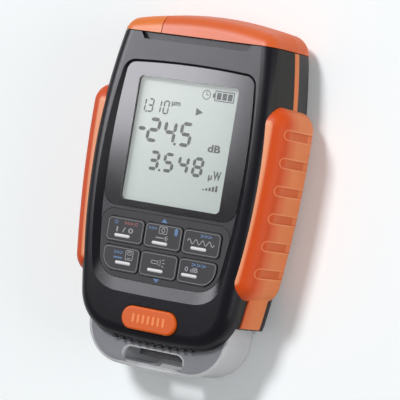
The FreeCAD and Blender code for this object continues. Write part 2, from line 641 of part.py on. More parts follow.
# ---------------------------------------------------------------------------
# The rear shell with its battery bay, dock wall and cover hinge
# ---------------------------------------------------------------------------
BAY_HALF = "(3*cell_r+cell_gap+bay_fit)"
BAY_LOW = "(-cell_mid_y-cell_long/2-spring_long-contact_thick)"
BAY_HIGH = "(-cell_mid_y+cell_long/2+contact_thick+0.2)"
BAY_TOP = "(cell_z+cell_r+0.3)"
rear_zone = box("rear_zone", ("-" + FAR, FAR), ("-dock_y", "body_end_y"), ("-1", "split_z-band_thick/2"))
rear_core = shared("rear_core", hollow_form, box(
    "rear_core_zone", ("-" + FAR, FAR), ("-dock_y+dock_wall", FAR), ("0", "split_z")))
bay_block = box("bay_block", ("-%s-bay_wall" % BAY_HALF, BAY_HALF + "+bay_wall"),
                (BAY_LOW + "-bay_wall", BAY_HIGH + "+bay_wall"),
                ("door_thick+back_inset", BAY_TOP + "+bay_wall"))
bay_room = box("bay_room", ("-" + BAY_HALF, BAY_HALF), (BAY_LOW, BAY_HIGH), ("-1", BAY_TOP))
DOOR_X = ("-%s-door_lap" % BAY_HALF, BAY_HALF + "+door_lap")
DOOR_Y = (BAY_LOW + "-door_lap", BAY_HIGH + "+door_lap")
door_room = box("door_room", (DOOR_X[0] + "-door_fit", DOOR_X[1] + "+door_fit"),
                (DOOR_Y[0] + "-door_fit", DOOR_Y[1] + "+door_fit"), ("-1", "door_thick+back_inset"))
TAB_SPOTS = [("tab_left", "-tab_x"), ("tab_right", "tab_x")]
tab_rooms = [box(name + "_room", (x + "-tab_wide/2-0.3", x + "+tab_wide/2+0.3"),
                 (DOOR_Y[1] + "-bay_wall-1.5", DOOR_Y[1] + "+tab_long+0.5"),
                 ("door_thick+back_inset-0.15", "door_thick+back_inset+tab_thick+0.8"))
             for name, x in TAB_SPOTS]
rear_bosses = [rod("rear_boss_%d" % index, "z", (x, y, "0"), "sink_r+1.2", "split_z-band_thick/2")
               for index, (x, y) in enumerate(corners_of("boss_x", "boss_low_y", "boss_high_y"))]
screw_sinks = [rod("screw_sink_%d" % index, "z", (x, y, "-1"), "sink_r", "sink_z+1")
               for index, (x, y) in enumerate(corners_of("boss_x", "boss_low_y", "boss_high_y"))]
hinge_shelf = box("hinge_shelf", ("-ear_left_x-1", "ear_left_x+1"),
                  ("hinge_y-hinge_z-relief-shelf_thick", "hinge_y-hinge_z-relief"), ("wall/2", "relief_z"))
hinge_relief = box("hinge_relief", ("-" + FAR, FAR), ("hinge_y-hinge_z-relief", FAR), ("-2", "relief_z"))
EARS = [("ear_left", "-ear_left_x"), ("ear_seam", "-cover_seam_x"), ("ear_right", "ear_right_x")]
ears = []
for name, x in EARS:
    ears.append(rod(name + "_eye", "x", (x + "-ear_thick/2", "hinge_y", "hinge_z"), "ear_r", "ear_thick"))
    ears.append(box(name + "_arm", (x + "-ear_thick/2", x + "+ear_thick/2"),
                    ("hinge_y-hinge_z-relief-0.5", "hinge_y"), ("hinge_z-ear_r*0.7", "hinge_z+ear_r")))
pin_bore = rod("pin_bore", "x", ("-ear_left_x-4", "hinge_y", "hinge_z"), "pin_r+pin_fit/2", "60")
pegs = [box(name, (x + "-peg_wide/2", x + "+peg_wide/2"), ("-dock_y-peg_long", "-dock_y+0.5"),
            ("peg_low_z", "peg_high_z")) for name, x in (("peg_left", "-peg_x"), ("peg_right", "peg_x"))]
rear_body = join("rear_body", [
    cut("rear_skin", shared("rear_blank", full_form, rear_zone), [rear_core]),
    shared("rear_columns", full_form, join("rear_column_set", rear_bosses)), bay_block, hinge_shelf])
rear_shell = node("rear_shell", cut("rear_shell_made", join("rear_filled", [
    cut("rear_opened", rear_body, [hinge_relief, bay_room, door_room, right_room, left_room] + tab_rooms)]
    + ears + pegs), [pin_bore, torch_hole] + screw_sinks + screw_pilots))
shell_screws = doc.addObject("Part::Compound", "shell_screws")
shell_screws.Links = [join("screw_%d" % index, [
    rod("screw_head_%d" % index, "z", (x, y, "sink_z-head_tall"), "screw_head_r", "head_tall"),
    rod("screw_shank_%d" % index, "z", (x, y, "sink_z-0.2"), "screw_r", "screw_end_z-sink_z+0.2")])
    for index, (x, y) in enumerate(corners_of("boss_x", "boss_low_y", "boss_high_y"))]
node("shell_screws", shell_screws)

# ---------------------------------------------------------------------------
# The port covers, with barrels that turn on one pin
# ---------------------------------------------------------------------------
cover_zone = box("cover_zone", ("-" + FAR, FAR), ("body_end_y+seam", FAR), ("-1", "60"))
cover_blank = shared("cover_blank", full_form, cover_zone)
COVERS = [
    ("small_port_cover", ("-" + FAR, "-cover_seam_x-seam/2"), ("-" + FAR, "-cover_seam_x-seam/2-seam_wall"),
     ("-ear_left_x+ear_thick/2+ear_fit", "-cover_seam_x-ear_thick/2-ear_fit")),
    ("large_port_cover", ("-cover_seam_x+seam/2", FAR), ("-cover_seam_x+seam/2+seam_wall", FAR),
     ("-cover_seam_x+ear_thick/2+ear_fit", "ear_right_x-ear_thick/2-ear_fit")),
]
ear_gaps = [box(name + "_gap", (x + "-ear_thick/2-ear_fit", x + "+ear_thick/2+ear_fit"),
                ("hinge_y-hinge_z-1", "hinge_y+ear_r+0.5"), ("-1", "relief_z+0.6")) for name, x in EARS]
for name, outside, inside, barrel in COVERS:
    blank = shared(name + "_blank", cover_blank, box(name + "_zone", outside, ("0", FAR), ("-1", "60")))
    room = shared(name + "_room", hollow_form, box(name + "_room_zone", inside, ("0", FAR), ("-1", "60")))
    barrel_rod = rod(name + "_barrel", "x", (barrel[0], "hinge_y", "hinge_z"), "barrel_r",
                     "(%s)-(%s)" % (barrel[1], barrel[0]))
    shell = cut(name + "_shell", blank, [room] + ear_gaps)
    node(name, cut(name + "_made", join(name + "_whole", [shell, barrel_rod]),
                   [rod(name + "_bore", "x", ("-ear_left_x-ear_thick/2-ear_fit", "hinge_y", "hinge_z"),
                        "pin_r+pin_fit", "ear_left_x+ear_right_x+ear_thick+2*ear_fit")]))
hinge_pin = node("hinge_pin", rod("hinge_pin_made", "x", ("-ear_left_x-ear_thick/2", "hinge_y", "hinge_z"),
                                  "pin_r", "ear_left_x+ear_right_x+ear_thick"))

# ---------------------------------------------------------------------------
# The port deck and the three ports
# ---------------------------------------------------------------------------
DECK_END = "(deck_y+deck_thick)"
port_holes = [rod("meter_hole", "y", ("-meter_x", "deck_y-1", "port_z"), "neck_r+0.1", "deck_thick+2"),
              rod("laser_hole", "y", ("-laser_x", "deck_y-1", "port_z"), "laser_out_r+0.1", "deck_thick+2"),
              box("jack_hole", ("jack_x-jack_wide/2-0.1", "jack_x+jack_wide/2+0.1"),
                  ("deck_y-1", DECK_END + "+1"), ("jack_top_z-jack_tall-0.1", "jack_top_z+0.1"))]
port_deck = node("port_deck", cut("port_deck_made", shared("deck_blank", deck_form, box(
    "deck_zone", ("-" + FAR, FAR), ("deck_y", DECK_END), ("relief_z", "ceiling_z-0.1"))), port_holes))


def turned(label, place_x, rings):
    """A turned piece about the port's axis, from rings of (radius, end) steps along Y."""
    made = body(label)
    made.setExpression("Placement.Base.x", bound(place_x))
    made.setExpression("Placement.Base.z", bound("port_z"))
    plan = sketch(made, label + "_half", "XY")
    profile(plan, rings)
    spin = made.newObject("PartDesign::Revolution", label + "_turned")
    spin.Profile = plan
    spin.ReferenceAxis = ([f for f in made.Origin.OriginFeatures if f.Role == "Y_Axis"][0], [""])
    spin.Angle = 360
    return made


BACK = "(deck_y-neck_long)"
meter_port = node("meter_port", turned("meter_adapter", "-meter_x", [
    ("ferrule_r", BACK), ("neck_r", BACK), ("neck_r", DECK_END), ("flange_r", DECK_END),
    ("flange_r", DECK_END + "+flange_thick"), ("barrel_out_r", DECK_END + "+flange_thick"),
    ("barrel_out_r", DECK_END + "+barrel_long"), ("barrel_in_r", DECK_END + "+barrel_long"),
    ("barrel_in_r", DECK_END + "+barrel_long-barrel_deep"),
    ("sleeve_r", DECK_END + "+barrel_long-barrel_deep"), ("sleeve_r", DECK_END + "+barrel_long-0.5"),
    ("ferrule_r", DECK_END + "+barrel_long-0.5")]))
light_sensor = node("light_sensor", rod("light_sensor_made", "y", ("-meter_x",
                                                                   BACK + "-0.05-sensor_long", "port_z"),
                                        "sensor_r", "sensor_long"))
laser_port = node("laser_port", turned("laser_sleeve", "-laser_x", [
    ("ferrule_r", "deck_y-flange_thick"), ("laser_flange_r", "deck_y-flange_thick"),
    ("laser_flange_r", "deck_y-0.02"), ("laser_out_r", "deck_y-0.02"),
    ("laser_out_r", DECK_END + "+laser_long"), ("ferrule_r", DECK_END + "+laser_long")]))
laser_module = node("laser_module", rod(
    "laser_module_made", "y", ("-laser_x", "deck_y-flange_thick-0.05-laser_body_long", "port_z"),
    "laser_body_r", "laser_body_long"))


def cable_socket(label, x, wide, y, z, mouth_y, latch_up):
    """A cable socket between places along Y and Z, with its mouth over mouth_y."""
    blank = box(label + "_blank", ("%s-%s/2" % (x, wide), "%s+%s/2" % (x, wide)), y, z)
    if latch_up:
        low, high = z[0] + "+plug_low", z[0] + "+plug_low+plug_tall"
        slot = (high + "-0.5", high + "+key_slot_tall")
    else:
        low, high = z[1] + "-plug_low-plug_tall", z[1] + "-plug_low"
        slot = (low + "-key_slot_tall", low + "+0.5")
    mouth = box(label + "_mouth", ("%s-plug_wide/2" % x, "%s+plug_wide/2" % x), mouth_y, (low, high))
    keyway = box(label + "_keyway", ("%s-key_slot_wide/2" % x, "%s+key_slot_wide/2" % x), mouth_y, slot)
    return cut(label + "_made", blank, [mouth, keyway])


def socket_pins(label, x, y, z):
    """Eight contact wires in a row."""
    made = doc.addObject("Part::Compound", label)
    made.Links = [box("%s_%d" % (label, index),
                      ("%s+%.1f*pin_pitch-pin_wide/2" % (x, index - 3.5),
                       "%s+%.1f*pin_pitch+pin_wide/2" % (x, index - 3.5)), y, z) for index in range(8)]
    return made


network_socket = node("network_socket", cable_socket(
    "network_socket", "jack_x", "jack_wide", (DECK_END + "-jack_long", DECK_END),
    ("(jack_top_z-jack_tall)", "jack_top_z"), (DECK_END + "-plug_deep", DECK_END + "+1"), False))
node("network_pins", socket_pins("network_pins_made", "jack_x", (DECK_END + "-plug_deep", DECK_END + "-3"),
                                 ("jack_top_z-plug_low-0.9", "jack_top_z-plug_low")))

# ---------------------------------------------------------------------------
# The board and the display
# ---------------------------------------------------------------------------
main_board = node("main_board", box("main_board_made", ("-board_half", "board_half"),
                                    ("-board_low_y", "board_high_y"),
                                    ("board_top_z-board_thick", "board_top_z")))
LCD_LOW = "ceiling_z-lcd_gap-lcd_thick"
lcd_panel = node("lcd_panel", box("lcd_panel_made", ("-lcd_half", "lcd_half"), ("-lcd_low_y", "lcd_high_y"),
                                  (LCD_LOW, "ceiling_z-lcd_gap")))
backlight = node("backlight", box("backlight_made", ("-lcd_half+0.6", "lcd_half-0.6"),
                                  ("-lcd_low_y+0.6", "lcd_high_y-0.6"), ("board_top_z", LCD_LOW)))

# ---------------------------------------------------------------------------
# Batteries, contacts and the door
# ---------------------------------------------------------------------------
CELLS = [("battery_left", "-2*cell_r-cell_gap"), ("battery_middle", "0*cell_r"),
         ("battery_right", "2*cell_r+cell_gap")]
for name, x in CELLS:
    node(name, join(name + "_made", [
        rod(name + "_can", "y", (x, "-cell_mid_y-cell_long/2", "cell_z"), "cell_r", "cell_long-1"),
        rod(name + "_cap", "y", (x, "-cell_mid_y+cell_long/2-1", "cell_z"), "1.9", "1")]))
contact_strips = doc.addObject("Part::Compound", "contact_strips")
contact_strips.Links = [
    box("plus_strip", ("-" + BAY_HALF + "+0.5", BAY_HALF + "-0.5"),
        (BAY_HIGH + "-contact_thick", BAY_HIGH), ("3", BAY_TOP + "-1"))] + [
    box("minus_strip", ("-" + BAY_HALF + "+0.5", BAY_HALF + "-0.5"), (BAY_LOW, BAY_LOW + "+contact_thick"),
        ("3", BAY_TOP + "-1"))]
node("contact_strips", contact_strips)
contact_springs = doc.addObject("Part::Compound", "contact_springs")
contact_springs.Links = [rod(name + "_spring", "y", (x, BAY_LOW + "+contact_thick", "cell_z"), "spring_r",
                             "spring_long-0.02") for name, x in CELLS]
node("contact_springs", contact_springs)
battery_door = node("battery_door", join("battery_door_made", [
    box("door_plate", DOOR_X, DOOR_Y, ("back_inset", "door_thick+back_inset-0.02"))] + [
    box(name, (x + "-tab_wide/2", x + "+tab_wide/2"),
        (DOOR_Y[1] + "-bay_wall-0.5", DOOR_Y[1] + "+tab_long"),
        ("door_thick+back_inset-0.02", "door_thick+back_inset+tab_thick")) for name, x in TAB_SPOTS]))

# ---------------------------------------------------------------------------
# The clip-on cable tester at the foot
# ---------------------------------------------------------------------------
def tester_form(label, inset, low_z, high_z):
    """The tester's plan, a bumper with a crowned end and large corners, raised."""
    made = body(label)
    plan = sketch(made, label + "_plan", "XY", low_z)
    half, corner = "(tester_half-%s)" % inset, "(tester_corner_x-%s)" % inset
    back, end = "-dock_y-dock_gap", "-(tester_corner_y-%s)" % inset
    profile(plan, [("-" + half, back), (half, back), (corner, end, bulge(corner, "tester_sag"), -1),
                   ("-" + corner, end)])
    pad(made, plan, "(%s)-(%s)" % (high_z, low_z))
    fillet(made, "tester_corner_r-" + inset, lambda edge: along("z", edge)
           and edge.BoundBox.YMax < -size("dock_y+6"))
    return made


tester_block = tester_form("tester_block", "0", "tester_low_z", "tester_top_z")
fillet(tester_block, "tester_edge_r", lambda edge: edge.BoundBox.ZMax < size("tester_low_z") + 0.01
       and not along("x", edge))
fillet(tester_block, "tester_bevel", lambda edge: edge.BoundBox.ZMin > size("tester_top_z") - 0.01
                     and not along("x", edge))
tester_hollow = tester_form("tester_hollow", "tester_wall",
                            "tester_low_z+tester_wall", "tester_top_z-tester_wall")
fillet(tester_hollow, "tester_edge_r-tester_wall", lambda edge: edge.BoundBox.ZMax
       < size("tester_low_z+tester_wall") + 0.01 and not along("x", edge))


def finger_arch():
    """The arch over the socket, where a thumb reaches the plug's latch."""
    made = body("finger_arch")
    plan = sketch(made, "arch_plan", "XY", "socket_top_z")
    rectangle(plan, ("-arch_half", "arch_half"), ("-arch_end_y", "-arch_top_y"))
    pad(made, plan, "10")
    fillet(made, "arch_corner_r", lambda edge: along("z", edge)
           and edge.BoundBox.YMin > -size("arch_top_y+1"))
    return made


latch_slot = box("latch_slot", ("-latch_long/2-0.4", "latch_long/2+0.4"),
                 ("-press_y-latch_wide/2-0.5", "-dock_y+1"), ("latch_z-press_travel-1", "60"))
socket_bay = box("socket_bay", ("-plug_wide/2-0.6", "plug_wide/2+0.6"), ("-" + FAR, "-socket_face_y"),
                 ("socket_low_z", "socket_top_z+0.01"))
socket_seat = box("socket_seat", ("-socket_half-fit", "socket_half+fit"),
                  ("-socket_face_y", "-socket_face_y+socket_long"), ("socket_low_z", "socket_top_z"))
LID_Y = ("-dock_y-dock_gap-lid_thick", "-dock_y-dock_gap")
lid_room = shared("lid_room", tester_form("lid_form", "(tester_wall-0.7)", "tester_low_z+tester_wall-0.7",
                                          "tester_top_z-tester_wall+0.2"),
                  box("lid_zone", ("-" + FAR, FAR), (LID_Y[0], LID_Y[1] + "+1"), ("0", "60")))
tester_room = shared("tester_room", tester_hollow,
                     box("tester_room_zone", ("-" + FAR, FAR), ("-" + FAR, LID_Y[0] + "+0.01"), ("0", "60")))
tester_housing = node("tester_housing", cut("tester_housing_made", tester_block, [
    tester_room, lid_room, finger_arch(), socket_bay, socket_seat, latch_slot]))
lid_form = tester_form("lid_plate", "(tester_wall-0.6)", "tester_low_z+tester_wall-0.6",
                       "tester_top_z-tester_wall+0.1")
peg_holes = [box(name + "_hole", (x + "-peg_wide/2-peg_fit", x + "+peg_wide/2+peg_fit"),
                 ("-dock_y-peg_long-1", "-dock_y+1"), ("peg_low_z-peg_fit", "peg_high_z+peg_fit"))
             for name, x in (("peg_left", "-peg_x"), ("peg_right", "peg_x"))]
tester_lid = node("tester_lid", cut("tester_lid_made", shared("lid_blank", lid_form, box(
    "lid_slab", ("-" + FAR, FAR), (LID_Y[0] + "+0.02", LID_Y[1]), ("0", "60"))), peg_holes + [
        latch_slot, rod("torch_window", "y", ("-torch_x", "-60", "torch_z"), "torch_rim_r+0.4", "25")]))
tester_socket = node("tester_socket", cable_socket(
    "tester_socket", "0*jack_x", "2*socket_half", ("-socket_face_y", "-socket_face_y+socket_long"),
    ("(socket_low_z+0.02)", "(socket_top_z-0.05)"), ("-" + FAR, "-socket_face_y+plug_deep-1.2"), True))
node("tester_pins", socket_pins("tester_pins_made", "0*jack_x",
                                ("-socket_face_y+3", "-socket_face_y+plug_deep-1.2"),
                                ("socket_low_z+0.02+plug_low", "socket_low_z+0.92+plug_low")))
torch_lamp = node("torch_lamp", join("torch_lamp_made", [
    rod("torch_body", "y", ("-torch_x", "-dock_y-torch_lens", "torch_z"), "torch_r", "torch_long+torch_lens"),
    rod("torch_collar", "y", ("-torch_x", "-dock_y-torch_rim-seat", "torch_z"), "torch_rim_r", "torch_rim")]))

# ---------------------------------------------------------------------------
# Check the whole model, then write each piece
# ---------------------------------------------------------------------------
doc.recompute()
for made in doc.Objects:
    if "Invalid" in made.State or "Error" in made.State:
        raise RuntimeError("%s failed: %s" % (made.Name, made.State))
for made in NODES:
    if made.Shape.isNull() or not made.Shape.isValid() or not made.Shape.Solids:
        raise RuntimeError(made.Label + " has no valid solid")
os.makedirs("parts", exist_ok=True)
for made in NODES:
    made.Shape.exportStep("parts/%s.step" % made.Label)
    print(made.Label, len(made.Shape.Solids), "solids, %.0f mm3" % made.Shape.Volume)
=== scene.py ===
# %% [markdown]
# # An optical power meter
# The CAD model gives every rigid piece of the meter its true shape and place. This lesson
# gives those pieces their finishes, and adds what is printed, moulded or wound too finely
# for the CAD: the reading on the display, the key legends, the raised bars and ribs, the
# springs and the screws' recesses. Lengths in metres are written as a number times MM, and
# the printed marks are worked out in mm.

# %% Load the meter
import bpy
import numpy as np
from mathutils import Matrix, Vector


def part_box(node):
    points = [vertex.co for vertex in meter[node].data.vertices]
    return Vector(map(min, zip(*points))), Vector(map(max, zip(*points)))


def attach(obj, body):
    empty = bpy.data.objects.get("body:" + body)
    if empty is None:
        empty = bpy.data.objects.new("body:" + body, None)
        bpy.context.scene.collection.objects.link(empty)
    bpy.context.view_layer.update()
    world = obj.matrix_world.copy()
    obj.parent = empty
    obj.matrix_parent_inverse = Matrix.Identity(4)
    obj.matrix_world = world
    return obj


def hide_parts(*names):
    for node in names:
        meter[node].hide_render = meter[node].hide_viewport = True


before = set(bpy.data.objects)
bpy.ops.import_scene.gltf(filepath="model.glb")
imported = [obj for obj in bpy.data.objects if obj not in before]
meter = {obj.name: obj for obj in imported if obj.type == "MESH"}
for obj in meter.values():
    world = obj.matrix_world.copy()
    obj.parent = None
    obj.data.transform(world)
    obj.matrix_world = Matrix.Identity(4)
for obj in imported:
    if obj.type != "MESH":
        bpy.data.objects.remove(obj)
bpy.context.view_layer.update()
MM = 0.001

# %% [markdown]
# ## Writing shaders as expressions
# A pattern on plastic is arithmetic on coordinates. Wiring each Math node by hand hides
# that, so a small class wraps a socket and lets Python's own operators add the nodes.
# One material is one `Finish`, which sets the constants on its Principled shader and has
# a single method, `node`, for every other kind of node.

# %% A socket that does arithmetic, and a finish that owns the nodes
CRISP = 4000.0   # a printed or moulded edge goes from 0 to 1 in a quarter of a millimetre


class Number:
    """A number in a shader: using it in an expression adds Math nodes."""

    def __init__(self, finish, socket):
        self.finish = finish
        self.socket = socket

    def math(self, operation, first, second=0.0, **settings):
        return self.finish.node("ShaderNodeMath", {"operation": operation, **settings},
                                {0: first, 1: second})

    def __add__(self, other):
        return self.math("ADD", self, other)

    def __sub__(self, other):
        return self.math("SUBTRACT", self, other)

    def __rsub__(self, other):
        return self.math("SUBTRACT", other, self)

    def __mul__(self, other):
        return self.math("MULTIPLY", self, other)

    def __abs__(self):
        return self.math("ABSOLUTE", self)

    def clipped(self):
        """The number held between 0 and 1."""
        return self.math("ADD", self, 0.0, use_clamp=True)

    def above(self, level, steep=CRISP):
        """0 under a level, then a slope up to 1 over the length 1 / steep."""
        return ((self - level) * steep).clipped()

    def below(self, level, steep=CRISP):
        """The same slope, 1 well under the level and 0 over it."""
        return ((level - self) * steep).clipped()

    def within(self, reach, middle, steep=CRISP):
        """1 where the number lies less than `reach` from `middle`."""
        return abs(self - middle).below(reach, steep)

    __radd__ = __add__
    __rmul__ = __mul__


def distance(across, along):
    """How far a point is from the place where both numbers are 0."""
    squares = across * across + along * along
    return squares.math("SQRT", squares)


class Finish:
    """One material: a Principled shader with its constants, and the nodes that vary it."""

    def __init__(self, name, color, roughness, **constants):
        self.material = bpy.data.materials.new(name)
        self.material.use_nodes = True
        self.tree = self.material.node_tree
        self.shader = self.tree.nodes["Principled BSDF"]
        self.shader.inputs["Base Color"].default_value = (*color, 1.0)
        self.shader.inputs["Roughness"].default_value = roughness
        for key, value in constants.items():
            self.shader.inputs[key.replace("_", " ")].default_value = value

    def node(self, kind, settings, inputs, output=0):
        """Add a node: settings first, then a value or link for each socket."""
        made = self.tree.nodes.new(kind)
        for key, value in settings.items():
            setattr(made, key, value)
        for key, value in inputs.items():
            if isinstance(value, Number):
                self.tree.links.new(value.socket, made.inputs[key])
            else:
                made.inputs[key].default_value = value
        return Number(self, made.outputs[output])

    def feed(self, key, value):
        """Link a varying value to one of the shader's own sockets."""
        self.tree.links.new(value.socket, self.shader.inputs[key])

    def point(self):
        """The point on the meter that is shaded, in metres."""
        return self.node("ShaderNodeTexCoord", {}, {}, output=3)

    def place(self):
        """The point's x, y and z, in metres."""
        point = self.point()
        return [self.node("ShaderNodeSeparateXYZ", {}, {0: point}, output=i) for i in range(3)]

    def noise(self, scale, detail=2.0, stretch=(1.0, 1.0, 1.0)):
        """Soft random variation from 0 to 1, of `scale` features to the metre."""
        point = self.node("ShaderNodeMapping", {}, {"Vector": self.point(), "Scale": stretch})
        return self.node("ShaderNodeTexNoise", {},
                         {"Vector": point, "Scale": scale, "Detail": detail})

    def blend(self, mask, first, second):
        """The first colour where the mask is 0 and the second where it is 1."""
        made = [value if isinstance(value, Number) else (*value, 1.0) for value in (first, second)]
        return self.node("ShaderNodeMix", {"data_type": "RGBA"},
                         {0: mask, 6: made[0], 7: made[1]}, output=2)

    def grain(self, height, depth):
        """Bump the surface by a height from 0 to 1 that stands for `depth` metres."""
        self.feed("Normal", self.node("ShaderNodeBump", {},
                                      {"Strength": 1.0, "Distance": depth, "Height": height}))


print("shader tools ready")

# %% [markdown]
# ## The case
# The shells are dark grey moulded plastic with a fine spark-eroded grain. Along the
# front shell's flanks lies a paler and rougher panel. One finish carries both: the flank
# is where the surface lies outside a line that bows out at the waist as a parabola does,
# x = end + bow (1 - (y - middle)^2 / half^2), and below the rounded front edge.

# %% Case, flank panels and keypad
def textured(name, color, roughness, spread=0.12, grain=2.5e-5, scale=2600.0, **constants):
    """Moulded plastic: a spark-eroded grain and a faint unevenness of tone and gloss."""
    made = Finish(name, color, roughness, **constants)
    cloud = made.noise(90.0)
    made.feed("Base Color", made.blend(cloud, [c * (1 - spread) for c in color],
                                       [min(c * (1 + spread), 1.0) for c in color]))
    made.feed("Roughness", (roughness - 0.05) + cloud * 0.1)
    made.grain(made.noise(scale, 3.0), grain)
    return made


FLANK_END, FLANK_BOW, FLANK_MIDDLE, FLANK_HALF = 27.9 * MM, 3.4 * MM, 4.0 * MM, 52.0 * MM
FLANK_TOP = 27.2 * MM

case = textured("case_plastic", (0.014, 0.014, 0.017), 0.40)
front = textured("front_shell_plastic", (0.008, 0.008, 0.010), 0.38, Specular_IOR_Level=0.32)
x, y, z = front.place()
share = (y - FLANK_MIDDLE) * (1.0 / FLANK_HALF)
edge = FLANK_END + FLANK_BOW * (1.0 - share * share)
flank = (abs(x) - edge).above(0.0) * z.below(FLANK_TOP)
cloud = front.noise(120.0)
skin = front.blend(cloud, (0.0035, 0.0033, 0.0065), (0.0055, 0.0052, 0.0095))
front.feed("Base Color", front.blend(flank, skin, (0.022, 0.024, 0.022)))
front.feed("Roughness", 0.29 + flank * 0.20 + cloud * 0.05)

keypad = textured("keypad_rubber", (0.016, 0.016, 0.018), 0.60, Specular_IOR_Level=0.4)
deck = textured("deck_plastic", (0.018, 0.018, 0.020), 0.5)
socket = textured("socket_plastic", (0.020, 0.020, 0.022), 0.35)
print("case finishes made")

# %% [markdown]
# ## Orange pieces
# The grips are a soft rubber overmould: light goes a little way into it, so it gets some
# subsurface scattering and a broad, weak gloss. Their tone follows three things, all of
# them painted light. It is paler low on the side, a painted sheen, and along the rim, a
# painted highlight. Each finger slot has a pale outline, a painted highlight on its rim,
# the line at one distance from the slot's axis and from its upper end. And the slots'
# floors are darker, a painted shade, which is where the surface lies under the arc that
# the grip is turned to. The covers and the button are hard plastic. The small cover is a
# little yellower and brighter than the large one.

# %% Grips, covers and button
ORANGE = (0.86, 0.125, 0.010)
GRIP_RADIUS, GRIP_HALF, GRIP_MIDDLE = 360.0 * MM, 36.87 * MM, 20.0 * MM
SHEEN_TOP, HIGHLIGHT_LOW = 23.5 * MM, 26.9 * MM
SLOT_FIRST, SLOT_PITCH, SLOTS_MIDDLE = 23.5 * MM, 8.95 * MM, 1.1 * MM
OUTLINE_END = 22.8 * MM
OUTLINE_RADIUS, OUTLINE_REACH = 1.6, 4.0   # mm: where the outline runs, how far it is followed
SLOT_MIDDLE, SLOT_HALF, SLOT_SUNK = 14.9 * MM, 6.9 * MM, 0.45 * MM

grip = textured("grip_rubber", ORANGE, 0.48, spread=0.06, Subsurface_Weight=0.12,
                Specular_IOR_Level=0.35)
grip.shader.inputs["Subsurface Radius"].default_value = (0.004, 0.0012, 0.0004)
grip.shader.inputs["Subsurface Scale"].default_value = 0.6
x, y, z = grip.place()
cloud = grip.noise(90.0)
body_tone = grip.blend(cloud, (0.68, 0.072, 0.002), (0.76, 0.084, 0.003))
# Painted sheen: the grip's side is coloured paler low down.
painted_sheen_tone = grip.blend(cloud, (0.78, 0.225, 0.070), (0.84, 0.245, 0.080))
tone = grip.blend(z.below(SHEEN_TOP, 130.0), body_tone, painted_sheen_tone)
# Painted highlight: a pale band along the grip's rim, where the front face begins.
tone = grip.blend(z.above(HIGHLIGHT_LOW), tone, (0.96, 0.36, 0.17))

# Painted highlight: a pale ring along each finger slot's rim.
steps = (y - SLOT_FIRST) * (1.0 / SLOT_PITCH)
aside = (steps - steps.math("ROUND", steps)) * (SLOT_PITCH / MM)
past_end = z.above(OUTLINE_END, 1.0 / (OUTLINE_REACH * MM)) * OUTLINE_REACH
outline = (1.0 - abs(distance(aside, past_end) - OUTLINE_RADIUS) * 3.5).clipped()
outline = outline * y.within(27.0 * MM, SLOTS_MIDDLE)
tone = grip.blend(outline * 0.7, tone, (0.93, 0.38, 0.16))

# Painted shade: the slots' floors, which lie under the turned arc, are coloured darker.
span = distance(abs(x) + (GRIP_RADIUS - GRIP_HALF), y - GRIP_MIDDLE)
painted_groove_shade = span.below(GRIP_RADIUS - SLOT_SUNK, 9000.0)
painted_groove_shade = painted_groove_shade * y.within(26.8 * MM, SLOTS_MIDDLE) * z.within(SLOT_HALF, SLOT_MIDDLE)
grip.feed("Base Color", grip.blend(painted_groove_shade, tone, (0.70, 0.150, 0.036)))

cover = textured("cover_plastic", (0.76, 0.128, 0.020), 0.42, spread=0.05)
# The small cover is coloured a little yellower and brighter than the large one.
cover_small = textured("small_cover_plastic", (0.84, 0.200, 0.024), 0.42, spread=0.05)
button = textured("button_plastic", (0.77, 0.120, 0.008), 0.45, spread=0.05,
                  Specular_IOR_Level=0.25)
print("orange finishes made")

# %% [markdown]
# ## Window and display
# The window is one clear panel, printed dark on its back except over the display, where
# it stays clear. A mask with rounded corners sets how much of it is seen through. The
# liquid crystal panel behind is a pale grey-green, a little uneven, and painted darker
# towards the lower right corner: a painted shade that follows the light from the upper
# left. It also glows a little, painted light that weakens the shade which the window's
# edges throw on it.

# %% Window, liquid crystal panel and light guide
VIEW_LOW, VIEW_HIGH, VIEW_HALF, VIEW_ROUND = -4.9 * MM, 35.9 * MM, 18.8 * MM, 1.6 * MM


def rounded_mask(made, low, high, half, corner, steep=9000.0):
    """1 inside a rounded rectangle: the corner radius less the distance from a smaller
    rectangle, which is drawn in by that radius."""
    across, along, _ = made.place()
    beside = abs(across) - (half - corner)
    beyond = abs(along - (low + high) / 2) - ((high - low) / 2 - corner)
    outside = distance(beside.math("MAXIMUM", beside), beyond.math("MAXIMUM", beyond))
    return outside.below(corner, steep)


window = Finish("window_tint", (0.008, 0.008, 0.010), 0.12)
clear = rounded_mask(window, VIEW_LOW, VIEW_HIGH, VIEW_HALF, VIEW_ROUND)
window.feed("Alpha", 1.0 - clear * 0.93)
window.feed("Base Color", window.blend(clear, (0.008, 0.008, 0.010), (0.70, 0.74, 0.72)))
window.feed("Roughness", 0.10 + window.noise(150.0) * 0.03)

# Painted light: a weak glow over the whole panel, which lightens the shade from the window's
# edges.
lcd = Finish("liquid_crystal", (0.60, 0.68, 0.64), 0.5, Emission_Strength=0.30)
lcd.shader.inputs["Emission Color"].default_value = (0.80, 0.88, 0.85, 1.0)
across, along, _ = lcd.place()
# Painted shade: the colour darkens from the upper left corner to the lower right.
slope = (across - along + (VIEW_LOW + VIEW_HIGH) / 2) * 18.0
shade = (0.4 + slope + lcd.noise(25.0) * 0.2).clipped()
lcd.feed("Base Color", lcd.blend(shade, (0.42, 0.46, 0.44), (0.24, 0.29, 0.27)))
guide = textured("light_guide", (0.80, 0.82, 0.84), 0.4, spread=0.04)
print("display finishes made")

